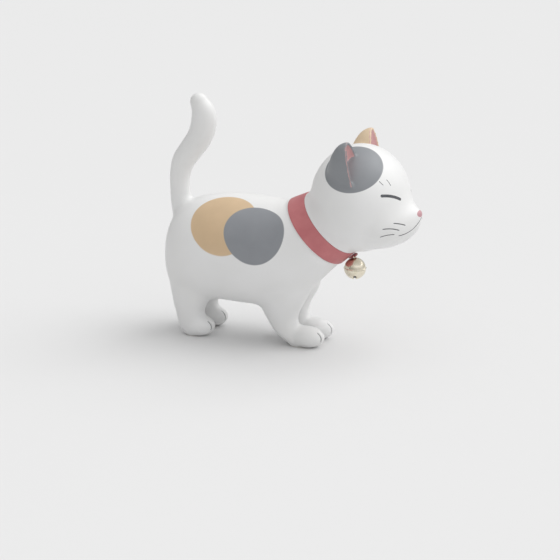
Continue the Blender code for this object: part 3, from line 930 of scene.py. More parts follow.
@dataclass(frozen=True)
class Enamel:
    """A thin line of fired enamel laid over the glaze with a brush."""

    name: str
    colour: Colour
    thin: Colour

    def make(self) -> bpy.types.Material:
        """Lay out the enamel and return its material.

        Returns:
            The finished material.
        """
        sheet = Sheet(self.name)
        load = sheet.remap(sheet.noise(380.0, 3.0), 0.35, 0.65, 0.0, 1.0)
        sheet.feed(sheet.mix(load, self.colour, self.thin), "Base Color")
        sheet.feed(sheet.remap(load, 0.0, 1.0, 0.38, 0.5), "Roughness")
        sheet.bump(sheet.noise(900.0, 2.0), 0.2, 0.00003)
        sheet.set(Coat_Weight=0.15, Coat_Roughness=0.3)
        return sheet.material


# -------------------------------------------------------------------- pieces


def hand_over(item: bpy.types.Object, part: Part, slot: str, *nodes: str) -> None:
    """Let a finished piece ride on its body in place of its nodes and report it.

    Args:
        item: The finished piece.
        part: The body it moves with.
        slot: The record's material slot; not used.
        nodes: The nodes it stands for.
    """
    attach(item, part.value)
    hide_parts(*nodes)
    LOG.info("%s: %d faces", item.name, len(item.data.polygons))


def paint_with(item: bpy.types.Object, material: bpy.types.Material) -> None:
    """Give a mesh one material."""
    item.data.materials.clear()
    item.data.materials.append(material)


@dataclass(frozen=True)
class Stroke:
    """One line along a surface: its path in anatomy millimetres and its half width."""

    path: tuple[Row, ...]
    half_width: float
    height: float = 0.10
    point: float = 1.0
    sink: float = 0.0


# Half the section of an enamel bead, across and out, as shares of its half width and height.
BEAD_SIDE = ((0.25, 1.0), (0.7, 0.7), (1.0, -0.5))
BEAD_SECTION = tuple((-u, v) for u, v in reversed(BEAD_SIDE)) + BEAD_SIDE + ((0.0, -1.5),)


class Surface:
    """A finished skin that lines can be laid on."""

    def __init__(self, item: bpy.types.Object) -> None:
        """Index the skin's faces."""
        mesh = item.data
        self.tree = BVHTree.FromPolygons([vertex.co for vertex in mesh.vertices],
                                         [face.vertices[:] for face in mesh.polygons])

    def settle(self, point: Vector) -> tuple[Vector, Vector]:
        """Return the nearest point of the skin and its normal there."""
        found, normal, _, _ = self.tree.find_nearest(point)
        return found, normal

    def outermost(self, middle: float, turn: float, height: float, reach: float = 120.0) -> Row:
        """Look in at an upright axis from outside and return the skin's first point.

        Args:
            middle: Where the axis stands along the cat, in anatomy millimetres.
            turn: The angle out from straight ahead, in radians.
            height: The height of the look, in millimetres.
            reach: How far out the look starts, in millimetres.

        Returns:
            The point in anatomy millimetres.
        """
        heading = Vector((math.cos(turn), math.sin(turn), 0.0))
        start = LAYOUT.place(middle, 0.0, height) + heading * reach * MM
        found = self.tree.ray_cast(start, -heading)[0] / MM
        return (found.x + LAYOUT.mid_x, found.y, found.z)

    def route(self, stroke: Stroke, side: Side, spacing: float = 0.35) -> list[tuple[Vector, Vector]]:
        """Lay a stroke's path on the skin in even, short steps.

        Args:
            stroke: The line to lay.
            side: The side of the cat; the path is written for the left.
            spacing: The length of one step in millimetres.

        Returns:
            A point and the skin's normal for each step.
        """
        rows = smooth_rows(stroke.path, 12)
        rows[:, 1] *= side.value
        points = [self.settle(LAYOUT.place(*row))[0] for row in rows]
        reach = [0.0]
        for before, after in zip(points, points[1:]):
            reach.append(reach[-1] + (after - before).length)
        count = max(int(reach[-1] / (spacing * MM)), 4)
        marks = np.linspace(0.0, reach[-1], count + 1)
        table = np.array(points)
        even = np.column_stack([np.interp(marks, reach, table[:, axis]) for axis in range(3)])
        return [self.settle(Vector(row)) for row in even]

    def smooth_normals(self, route: list[tuple[Vector, Vector]], reach: int = 4) -> list[Vector]:
        """Return the route's normals averaged over a few steps either way.

        Args:
            route: The points of the route with their normals.
            reach: How many steps either way are averaged.

        Returns:
            One normal for each point.
        """
        normals = [normal for _, normal in route]
        found = []
        for index in range(len(normals)):
            near = normals[max(index - reach, 0):index + reach + 1]
            found.append(sum(near, Vector()).normalized())
        return found

    def line(self, name: str, stroke: Stroke, side: Side) -> bpy.types.Object:
        """Build a stroke as a low, rounded bead of enamel bedded in the skin.

        Args:
            name: The new object's name.
            stroke: The stroke to build.
            side: Which side of the cat it is on.

        Returns:
            The bead.
        """
        route = self.route(stroke, side)
        normals = self.smooth_normals(route)
        total = len(route) - 1
        length = sum((after[0] - before[0]).length for before, after in zip(route, route[1:])) / MM
        rings = []
        for index, (point, _) in enumerate(route):
            ahead = route[min(index + 1, total)][0]
            behind = route[max(index - 1, 0)][0]
            across = normals[index].cross(ahead - behind).normalized()
            from_end = min(index, total - index) / total * length
            blunt = min(from_end / (stroke.half_width * stroke.point) + 0.04, 1.0)
            wide = stroke.half_width * math.sqrt(1.0 - (1.0 - blunt) ** 2) * MM
            high = stroke.height * math.sqrt(blunt) * MM
            seat = point - normals[index] * stroke.sink * MM
            rings.append([seat + across * (wide * u) + normals[index] * (high * v) for u, v in BEAD_SECTION])
        return loft(name, rings)

    def groove(self, name: str, stroke: Stroke, side: Side) -> bpy.types.Object:
        """Build the round tool that presses a stroke into the skin.

        Args:
            name: The new object's name.
            stroke: The stroke to build.
            side: Which side of the cat it is on.

        Returns:
            The tool.
        """
        route = self.route(stroke, side, 0.5)
        normals = self.smooth_normals(route)
        total = len(route) - 1
        rings = []
        for index, (point, _) in enumerate(route):
            ahead = route[min(index + 1, total)][0]
            behind = route[max(index - 1, 0)][0]
            across = normals[index].cross(ahead - behind).normalized()
            share = min(index, total - index) / total * 2.0
            lift = stroke.half_width * (0.7 - 1.0 * min(share * 2.5, 1.0)) * MM
            centre = point + normals[index] * lift
            radius = stroke.half_width * MM
            rings.append(oval(centre, across * radius, normals[index] * radius, 12))
        return loft(name, rings)


@dataclass(frozen=True)
class FaceLine:
    """A painted line, laid out by the angle it lies at round the head and its height.

    The angles are degrees out from straight ahead, seen from above the skull's middle.
    """

    turns: tuple[float, float]
    heights: tuple[float, float]
    half_width: float
    bow: float = 0.0
    ease: float = 1.0
    lift: float = 0.06
    point: float = 4.0
    steps: int = 8

    def stroke(self, surface: Surface, middle: float) -> Stroke:
        """Find the line on the left of the face.

        Args:
            surface: The head's finished skin.
            middle: The skull's middle along the cat, in anatomy millimetres.

        Returns:
            The line as a stroke.
        """
        path = []
        for step in range(self.steps + 1):
            share = step / self.steps
            turn = math.radians(self.turns[0] + (self.turns[1] - self.turns[0]) * share)
            fall = (self.heights[0] - self.heights[1]) * (1.0 - share) ** self.ease
            height = self.heights[1] + fall + 4.0 * self.bow * share * (1.0 - share)
            path.append(surface.outermost(middle, turn, height))
        return Stroke(tuple(path), self.half_width, self.lift, self.point)


def join(name: str, items: list[bpy.types.Object]) -> bpy.types.Object:
    """Join working objects into one mesh.

    Args:
        name: The new object's name.
        items: The objects to join, which are dropped.

    Returns:
        The joined object.
    """
    shape = bmesh.new()
    for item in items:
        shape.from_mesh(item.data)
    drop(*items)
    return from_bmesh(name, shape)


@dataclass
class TailForm:
    """The tail's bend, shared by the tail and by its root on the rump."""

    path: tuple[Row, ...] = (
        (-104.0, 128.0, 14.0),
        (-108.5, 144.0, 12.2),
        (-110.4, 160.0, 11.2),
        (-110.0, 176.0, 11.6),
        (-105.5, 191.0, 12.6),
        (-96.0, 204.5, 13.2),
        (-86.5, 218.0, 13.8),
        (-81.2, 233.0, 14.2),
        (-81.5, 246.0, 13.2),
        (-86.3, 257.0, 10.0),
    )
    flatness: float = 0.86
    cut: Row = (-106.5, 141.5)
    cut_angle: float = math.radians(40.0)
    tenon_radius: float = 5.5
    tenon_depth: float = 9.0

    def normal(self) -> Vector:
        """Return the direction out of the rump, square to the seam."""
        return Vector((-math.sin(self.cut_angle), 0.0, math.cos(self.cut_angle)))

    def seam(self, offset: float) -> Vector:
        """Return a point on the seam's axis, offset along it in millimetres."""
        return LAYOUT.place(self.cut[0], 0.0, self.cut[1]) + self.normal() * offset * MM

    def blank(self, name: str) -> bpy.types.Object:
        """Loft the whole tail and round its tip.

        Args:
            name: The new object's name.

        Returns:
            The tail down to its root.
        """
        rows = smooth_rows(self.path, 10)
        rings = []
        heading = Vector((0.0, 0.0, 1.0))
        sides = 48
        for index, (x, z, radius) in enumerate(rows):
            ahead = rows[min(index + 1, len(rows) - 1)]
            behind = rows[max(index - 1, 0)]
            heading = Vector((ahead[0] - behind[0], 0.0, ahead[1] - behind[1])).normalized()
            across = Vector((heading.z, 0.0, -heading.x)) * radius * MM
            along = Vector((0.0, radius * self.flatness * MM, 0.0))
            rings.append(oval(LAYOUT.place(x, 0.0, z), across, along, sides))
        x, z, radius = self.path[-1]
        tip_steps = 10
        for step in range(1, tip_steps):
            angle = math.pi / 2 * step / tip_steps
            centre = LAYOUT.place(x, 0.0, z) + heading * radius * MM * math.sin(angle)
            small = radius * math.cos(angle) * MM
            across = Vector((heading.z, 0.0, -heading.x)) * small
            rings.append(oval(centre, across, Vector((0.0, small * self.flatness, 0.0)), sides))
        return loft(name, rings)


@dataclass
class NeckSeat:
    """The shallow turned groove that the strap lies in."""

    over: float = 0.4
    clear: float = 12.0

    def cutter(self) -> bpy.types.Object:
        """Return the ring that turns the seat into the neck.

        Returns:
            The ring.
        """
        half = LAYOUT.strap_width / 2 + self.over
        outer = LAYOUT.strap_radius + self.clear
        profile = [(outer, half), (outer, -half), (LAYOUT.seat(-half), -half), (LAYOUT.seat(half), half)]
        return turned("tool_seat", profile, 192, LAYOUT.matrix())


@dataclass
class BodyCasting:
    """The hollow trunk on its four legs, open at the neck."""

    tail: TailForm
    trunk: tuple[Row, ...] = (
        (-121.2, 94.0, -121.2, 88.0, 4.0),
        (-120.2, 110.0, -120.0, 72.0, 19.0),
        (-116.5, 127.0, -116.5, 57.0, 30.0),
        (-107.0, 141.0, -108.0, 46.0, 38.0),
        (-88.0, 152.0, -90.0, 41.0, 44.5),
        (-58.0, 158.5, -60.0, 41.5, 48.0),
        (-28.0, 159.8, -28.0, 40.5, 49.0),
        (-4.0, 158.4, 8.0, 42.0, 48.5),
        (7.0, 157.0, 36.0, 55.0, 47.0),
    )
    fore_leg: tuple[Row, ...] = (
        (-3.0, 34.0, 15.6, 6.0, 5.0),
        (5.0, 31.0, 15.6, 11.5, 10.5),
        (14.0, 23.4, 15.8, 15.6, 12.8),
        (24.0, 17.4, 16.6, 16.1, 13.6),
        (35.0, 14.7, 17.4, 19.6, 15.0),
        (46.0, 15.2, 18.0, 24.0, 16.8),
        (60.0, 18.6, 17.8, 27.6, 18.5),
        (78.0, 21.0, 14.0, 25.0, 16.0),
    )
    hind_leg: tuple[Row, ...] = (
        (-3.0, -87.5, 18.7, 5.0, 5.0),
        (4.0, -89.5, 18.7, 11.5, 10.5),
        (13.0, -91.0, 18.8, 14.5, 12.8),
        (24.0, -92.0, 19.2, 15.8, 14.0),
        (34.0, -92.2, 19.2, 18.4, 15.4),
        (46.0, -90.5, 18.8, 22.5, 16.8),
        (60.0, -91.0, 18.0, 24.0, 18.0),
        (78.0, -88.0, 14.0, 22.0, 16.0),
    )
    fore_paw: Row = (43.0, 15.6, 11.0, 20.2, 13.4, 12.0)
    hind_paw: Row = (-83.0, 18.7, 11.0, 19.6, 13.4, 12.0)
    belly_square: float = 2.5
    proud: float = 0.9
    wall: float = 3.5
    vent_x: float = -30.0
    vent_radius: float = 4.5
    vent_heights: Row = (20.0, 60.0)
    neck_ribs: Row = (-14.0, -7.0)
    throat_ribs: Row = (-18.0, -9.0, 0.0, 9.0)
    bore_ribs: Row = (0.0, 7.0)
    voxel: float = 1.35
    toe_half_width: float = 0.8
    # Toe lines: dark enamel sunk in the toe grooves, partly the toe lines' paint and partly painted shade of
    # the grooves.
    toe_paint_and_shade_half_width: float = 0.34
    toe_paint_and_shade_sink: float = 0.62
    toe_spreads: Row = (-3.8, 6.0)

    def leg(self, slices: tuple[Row, ...], side: Side) -> bpy.types.Object:
        """Loft one leg through level slices.

        Args:
            slices: Rows of height, middle x and y, half length and half width.
            side: Which side of the cat it is on.

        Returns:
            The leg.
        """
        rings = []
        for z, centre_x, centre_y, half_length, half_width in smooth_rows(slices, 8):
            across = Vector((half_length * MM, 0.0, 0.0))
            along = Vector((0.0, half_width * MM, 0.0))
            rings.append(oval(LAYOUT.place(centre_x, side.value * centre_y, z), across, along, 56))
        return loft("form_leg", rings)

    def limbs(self) -> list[bpy.types.Object]:
        """Return the legs and paws as overlapping forms.

        Returns:
            Four legs and four paws.
        """
        forms = []
        for side in Side:
            forms.append(self.leg(self.fore_leg, side))
            forms.append(self.leg(self.hind_leg, side))
            for x, y, z, *radii in (self.fore_paw, self.hind_paw):
                forms.append(ellipsoid("form_paw", (x, side.value * y, z), tuple(radii), 64))
        return forms

    def grow(self) -> bpy.types.Object:
        """Fuse trunk, throat, tail root and limbs and soften the joins.

        Returns:
            The soft skin of trunk, limbs and tail.
        """
        ribs = self.trunk + (LAYOUT.rib(self.neck_ribs[0], self.proud),)
        throat = tuple(LAYOUT.rib(along, self.proud) for along in self.throat_ribs)
        forms = [
            loft("form_trunk", rib_rings(ribs, 10, 96, square=self.belly_square)),
            loft("form_throat", rib_rings(throat, 6, 96)),
            self.tail.blank("form_root"),
        ]
        item = fuse("body_casting", forms + self.limbs(), self.voxel)
        skin = Skin(item)
        height = skin.points[:, 2] / MM
        anatomy_x = skin.points[:, 0] / MM + LAYOUT.mid_x
        joins = ramp(height, 14.0, 26.0) * (1.0 - ramp(height, 95.0, 115.0))
        root = ramp(height, 112.0, 122.0) * (1.0 - ramp(anatomy_x, -88.0, -76.0))
        paws = 1.0 - ramp(height, 14.0, 26.0)
        skin.even_out(14)
        skin.fill_creases(170, np.maximum(joins, root))
        skin.fill_creases(10, paws)
        skin.relax(24, joins)
        skin.even_out(10)
        low = Vector((min(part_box(node)[0][axis] for node in ("body_shell", "tail")) for axis in range(3)))
        high = Vector((max(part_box(node)[1][axis] for node in ("body_shell", "tail")) for axis in range(3)))
        low.z = -1.0
        skin.tuck((low, high))
        skin.write()
        return item

    def toe_strokes(self) -> list[Stroke]:
        """Return the two grooves on the front of each paw, written for the left side.

        Returns:
            The strokes of the fore paw and then of the hind paw.
        """
        strokes = []
        for x, y, z, length, _, height in (self.fore_paw, self.hind_paw):
            for spread in self.toe_spreads:
                path = []
                for degrees in (-24.0, -4.0, 22.0, 48.0):
                    angle = math.radians(degrees)
                    splay = spread * (1.0 - 0.2 * math.sin(angle))
                    path.append((x + length * math.cos(angle), y + splay, z + height * math.sin(angle)))
                strokes.append(Stroke(tuple(path), self.toe_half_width))
        return strokes

    def build(self, item: bpy.types.Object, glaze: bpy.types.Material,
              enamel: bpy.types.Material) -> bpy.types.Object:
        """Cut the casting's seams, toes, seat, hollow and vent, and dress it.

        Args:
            item: The grown skin of trunk, limbs and tail.
            glaze: The casting's glaze.
            enamel: The dark enamel sunk in the grooves between the toes, partly the toe lines' paint and
                partly painted shade of the grooves.

        Returns:
            The finished casting.
        """
        trim(item, self.tail.seam(0.0), self.tail.normal())
        trim(item, Vector(), Vector((0.0, 0.0, -1.0)))
        trim(item, LAYOUT.place(*LAYOUT.centre(0.0)), LAYOUT.axis())
        surface = Surface(item)
        tools = [surface.groove("tool_toe", stroke, side) for stroke in self.toe_strokes() for side in Side]
        # Dark enamel beads sunk into each toe groove: partly painted toe lines, partly painted shade that
        # deepens the groove.
        for side in Side:
            beads = [surface.line("bead", replace(stroke, half_width=self.toe_paint_and_shade_half_width,
                                                  sink=self.toe_paint_and_shade_sink, point=3.0), side)
                     for stroke in self.toe_strokes()]
            lines = join(f"toe_lines_{side.word}", beads)
            shade_smooth(lines, 60.0)
            paint_with(lines, enamel)
            hand_over(lines, Part.FIGURINE, "body_glaze", "body_shell")
        combine(item, join("tool_toes", tools), "DIFFERENCE")
        combine(item, NeckSeat().cutter(), "DIFFERENCE")
        ribs = (self.trunk + tuple(LAYOUT.rib(along, self.proud) for along in self.neck_ribs))[2:]
        ribs += tuple(LAYOUT.rib(along, 0.0) for along in self.bore_ribs)
        combine(item, loft("tool_hollow", rib_rings(ribs, 4, 48, self.wall)), "DIFFERENCE")
        low, high = (LAYOUT.place(self.vent_x, 0.0, height) for height in self.vent_heights)
        vent = rod("tool_vent", low, high, self.vent_radius, 48)
        combine(item, vent, "DIFFERENCE")
        shade_smooth(item, 38.0)
        paint_with(item, glaze)
        hand_over(item, Part.FIGURINE, "body_glaze", "body_shell")
        return item


@dataclass
class TailCasting:
    """The solid tail, with the tenon that plugs into the rump."""

    form: TailForm
    gap: float = 0.02

    def build(self, grown: bpy.types.Object, glaze: bpy.types.Material) -> bpy.types.Object:
        """Take the tail from the grown skin above the seam, add the tenon and dress it.

        Args:
            grown: The skin of trunk, limbs and tail, which is left as it is.
            glaze: The tail's glaze.

        Returns:
            The finished tail.
        """
        item = new_object("tail_casting", grown.data.copy())
        trim(item, self.form.seam(self.gap), -self.form.normal())
        tenon = rod("form_tenon", self.form.seam(4.0), self.form.seam(-self.form.tenon_depth),
                    self.form.tenon_radius, 48)
        combine(item, tenon, "UNION")
        shade_smooth(item, 38.0)
        paint_with(item, glaze)
        hand_over(item, Part.FIGURINE, "tail_glaze", "tail")
        return item


@dataclass(frozen=True)
class Ear:
    """A blunt ear, round behind, with a hollow in front inside its lip."""

    base: Row = (104.5, 36.5, 195.0)
    tip: Row = (96.6, 47.2, 231.1)
    half_width: float = 22.0
    taper: float = 0.2
    depth: float = 32.5
    depth_taper: float = 0.42
    roundness: float = 2.8
    rim: float = 2.6
    hollow: float = 9.0
    lean: Row = (0.15, 0.62, -0.77)

    def point(self, t: float, angle: float, side: Side) -> Vector:
        """Return a point of the ear's skin.

        Args:
            t: The share of the way from the base to the tip.
            angle: The place round the ring, 0 to half a turn behind and the rest in front.
            side: Which ear.

        Returns:
            The point in the frame.
        """
        swell = max((1.0 - t ** self.roundness) ** 0.5, 0.1)
        centre = Vector(self.base).lerp(Vector(self.tip), t)
        half_width = self.half_width * swell * (1.0 - self.taper * t)
        depth = self.depth * swell * (1.0 - self.depth_taper * t)
        mouth = max(1.0 - self.rim / half_width, 0.05)
        across = math.cos(angle)
        push = depth * math.sin(angle)
        if push < 0:
            push = self.hollow * (1.0 - t ** 3) * max(1.0 - (across / mouth) ** 2, 0.0) ** 0.6
        found = centre + Vector(self.lean) * (half_width * across) - Vector((push, 0.0, 0.0))
        return LAYOUT.place(found.x, side.value * found.y, found.z)

    def form(self, side: Side) -> bpy.types.Object:
        """Loft the ear for one side.

        Args:
            side: Which side of the cat it is on.

        Returns:
            The ear as a closed form.
        """
        steps, sides = 48, 96
        rings = [[self.point(step / steps, math.tau * index / sides, side) for index in range(sides)]
                 for step in range(steps + 1)]
        return loft("form_ear", rings)

    def mouth_normal(self, side: Side) -> Vector:
        """Return the direction out of the ear's hollow.

        Args:
            side: Which side of the cat it is on.

        Returns:
            The unit direction.
        """
        rise = Vector(self.tip) - Vector(self.base)
        normal = Vector(self.lean).cross(rise).normalized()
        return Vector((normal.x, side.value * normal.y, normal.z))


@dataclass
class HeadCasting:
    """The head with its ears and raised nose, and the enamel lines of its face."""

    ear: Ear = field(default_factory=Ear)
    skull: Row = (97.5, 0.0, 166.8, 52.6, 56.5, 57.2)
    nose: Row = (160.4, 0.0, 154.8, 4.4, 7.0, 3.7)
    face: tuple[Row, ...] = (
        (100.0, 190.0, 100.0, 118.0, 46.0),
        (122.0, 186.0, 122.0, 115.0, 46.5),
        (138.0, 177.0, 138.0, 119.0, 39.0),
        (149.0, 168.5, 149.0, 124.8, 28.5),
        (156.5, 162.5, 156.5, 131.5, 18.0),
        (161.5, 159.0, 161.5, 139.5, 9.5),
        (164.3, 157.5, 164.3, 148.0, 4.0),
    )
    nape: tuple[tuple[float, float, float | None], ...] = (
        (-6.0, 0.9, None),
        (0.0, 0.9, None),
        (8.0, 0.9, None),
        (12.0, 1.9, 41.5),
        (18.0, 3.6, 45.0),
        (27.0, 5.0, 48.5),
        (38.0, 2.0, 46.0),
    )
    gap: float = 0.3
    wall: float = 3.5
    spigot_depth: float = 9.0
    spigot_play: float = 0.9
    spigot_root: float = 6.0
    voxel: float = 1.15
    ear_middle: Row = (96.0, 42.0, 210.0)
    ear_reach: Row = (30.0, 38.0)
    muzzle_from: Row = (108.0, 124.0)
    nose_from: Row = (155.0, 159.0)
    eye: FaceLine = FaceLine((50.0, 20.5), (180.5, 173.0), 1.7, bow=1.8, lift=0.18, point=1.0)
    brows: tuple[FaceLine, ...] = (
        FaceLine((49.5, 44.5), (195.0, 190.5), 0.4),
        FaceLine((38.5, 34.0), (195.5, 189.0), 0.4, bow=0.8),
    )
    whiskers: tuple[FaceLine, ...] = (
        FaceLine((36.0, 21.5), (151.0, 147.0), 0.55, bow=0.6, lift=0.07),
        FaceLine((48.0, 28.5), (145.5, 142.5), 0.55, bow=1.4, lift=0.07),
        FaceLine((49.5, 33.5), (136.5, 138.5), 0.55, bow=1.1, lift=0.07),
    )
    mouth: FaceLine = FaceLine((0.5, 28.0), (151.5, 136.5), 0.55, ease=2.3, lift=0.08)

    def grow(self) -> bpy.types.Object:
        """Fuse skull, face, nape and ears and soften the joins.

        Returns:
            The soft skin of the head.
        """
        nape = tuple(LAYOUT.rib(*row) for row in self.nape)
        forms = [
            loft("form_nape", rib_rings(nape, 8, 96)),
            loft("form_face", rib_rings(self.face, 10, 96)),
            ellipsoid("form_skull", self.skull[:3], self.skull[3:], 128),
            ellipsoid("form_nose", self.nose[:3], self.nose[3:], 48),
        ]
        forms += [self.ear.form(side) for side in Side]
        item = fuse("head_casting", forms, self.voxel)
        skin = Skin(item)
        anatomy_x = skin.points[:, 0] / MM + LAYOUT.mid_x
        height = skin.points[:, 2] / MM
        muzzle = ramp(anatomy_x, *self.muzzle_from)
        away = np.column_stack((anatomy_x, np.abs(skin.points[:, 1]) / MM, height))
        away -= np.array(self.ear_middle)
        clear_of_ears = ramp(np.sqrt((away ** 2).sum(1)), *self.ear_reach)
        behind = (1.0 - ramp(anatomy_x, 86.0, 94.0)) * (1.0 - clear_of_ears)
        nose = 1.0 - ramp(anatomy_x, *self.nose_from)
        skin.even_out(12)
        skin.fill_creases(400, muzzle * clear_of_ears * nose)
        skin.fill_creases(60, behind)
        skin.fill_creases(200, clear_of_ears * (1.0 - muzzle))
        skin.relax(40, muzzle * clear_of_ears * nose)
        skin.even_out(8)
        skin.tuck(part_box("head_shell"))
        skin.write()
        return item

    def lines(self, surface: Surface, enamel: bpy.types.Material) -> None:
        """Lay the eyes, brows, whiskers and mouth on the glaze."""
        sets = {"eye": (self.eye,), "brows": self.brows, "whiskers": self.whiskers, "mouth": (self.mouth,)}
        for side in Side:
            for word, lines in sets.items():
                strokes = [line.stroke(surface, self.skull[0]) for line in lines]
                item = join(f"{word}_{side.word}", [surface.line("bead", stroke, side) for stroke in strokes])
                shade_smooth(item, 60.0)
                paint_with(item, enamel)
                hand_over(item, Part.FIGURINE, "head_glaze", "head_shell")

    def build(self, glaze: bpy.types.Material, enamel: bpy.types.Material) -> bpy.types.Object:
        """Grow the casting, cut its seam and the seat, add the spigot, dress it and paint its face.

        Args:
            glaze: The casting's glaze.
            enamel: The paint of the face lines.

        Returns:
            The finished head.
        """
        item = self.grow()
        trim(item, LAYOUT.place(*LAYOUT.centre(0.0)) + LAYOUT.axis() * self.gap * MM, -LAYOUT.axis())
        combine(item, NeckSeat().cutter(), "DIFFERENCE")
        outer = LAYOUT.seat(0.0) - self.wall - self.spigot_play
        spigot = rod("form_spigot", LAYOUT.place(*LAYOUT.centre(-self.spigot_depth)),
                     LAYOUT.place(*LAYOUT.centre(self.spigot_root)), outer, 96)
        combine(item, spigot, "UNION")
        shade_smooth(item, 38.0)
        paint_with(item, glaze)
        hand_over(item, Part.FIGURINE, "head_glaze", "head_shell")
        self.lines(Surface(item), enamel)
        return item


@dataclass
class CollarStrap:
    """The leather band round the neck."""

    ease: float = 0.6
    crown: float = 0.15

    def build(self, leather: bpy.types.Material) -> bpy.types.Object:
        """Turn the band with rounded edges and dress it.

        Args:
            leather: The strap's finish.

        Returns:
            The finished strap.
        """
        half = LAYOUT.strap_width / 2
        thick = LAYOUT.strap_thick
        profile: list[tuple[float, float]] = []
        steps = 6
        for sign in (1, -1):
            corner = [(-self.ease + self.ease * math.sin(math.pi / 2 * step / steps),
                       half - self.ease + self.ease * math.cos(math.pi / 2 * step / steps))
                      for step in range(steps + 1)]
            if sign < 0:
                corner = [(radius, -height) for radius, height in reversed(corner)]
            profile += [(LAYOUT.strap_outer(height) + radius, height) for radius, height in corner]
            if sign > 0:
                profile += [(LAYOUT.strap_outer(share * half) + self.crown * (1 - share ** 2), share * half)
                            for share in (0.7, 0.35, 0.0, -0.35, -0.7)]
        profile += [(LAYOUT.strap_outer(-half) - thick, -half), (LAYOUT.strap_outer(half) - thick, half)]
        item = turned("collar_band", profile, 256, LAYOUT.matrix())
        shade_smooth(item, 50.0)
        paint_with(item, leather)
        hand_over(item, Part.FIGURINE, "strap", "collar_strap")
        return item


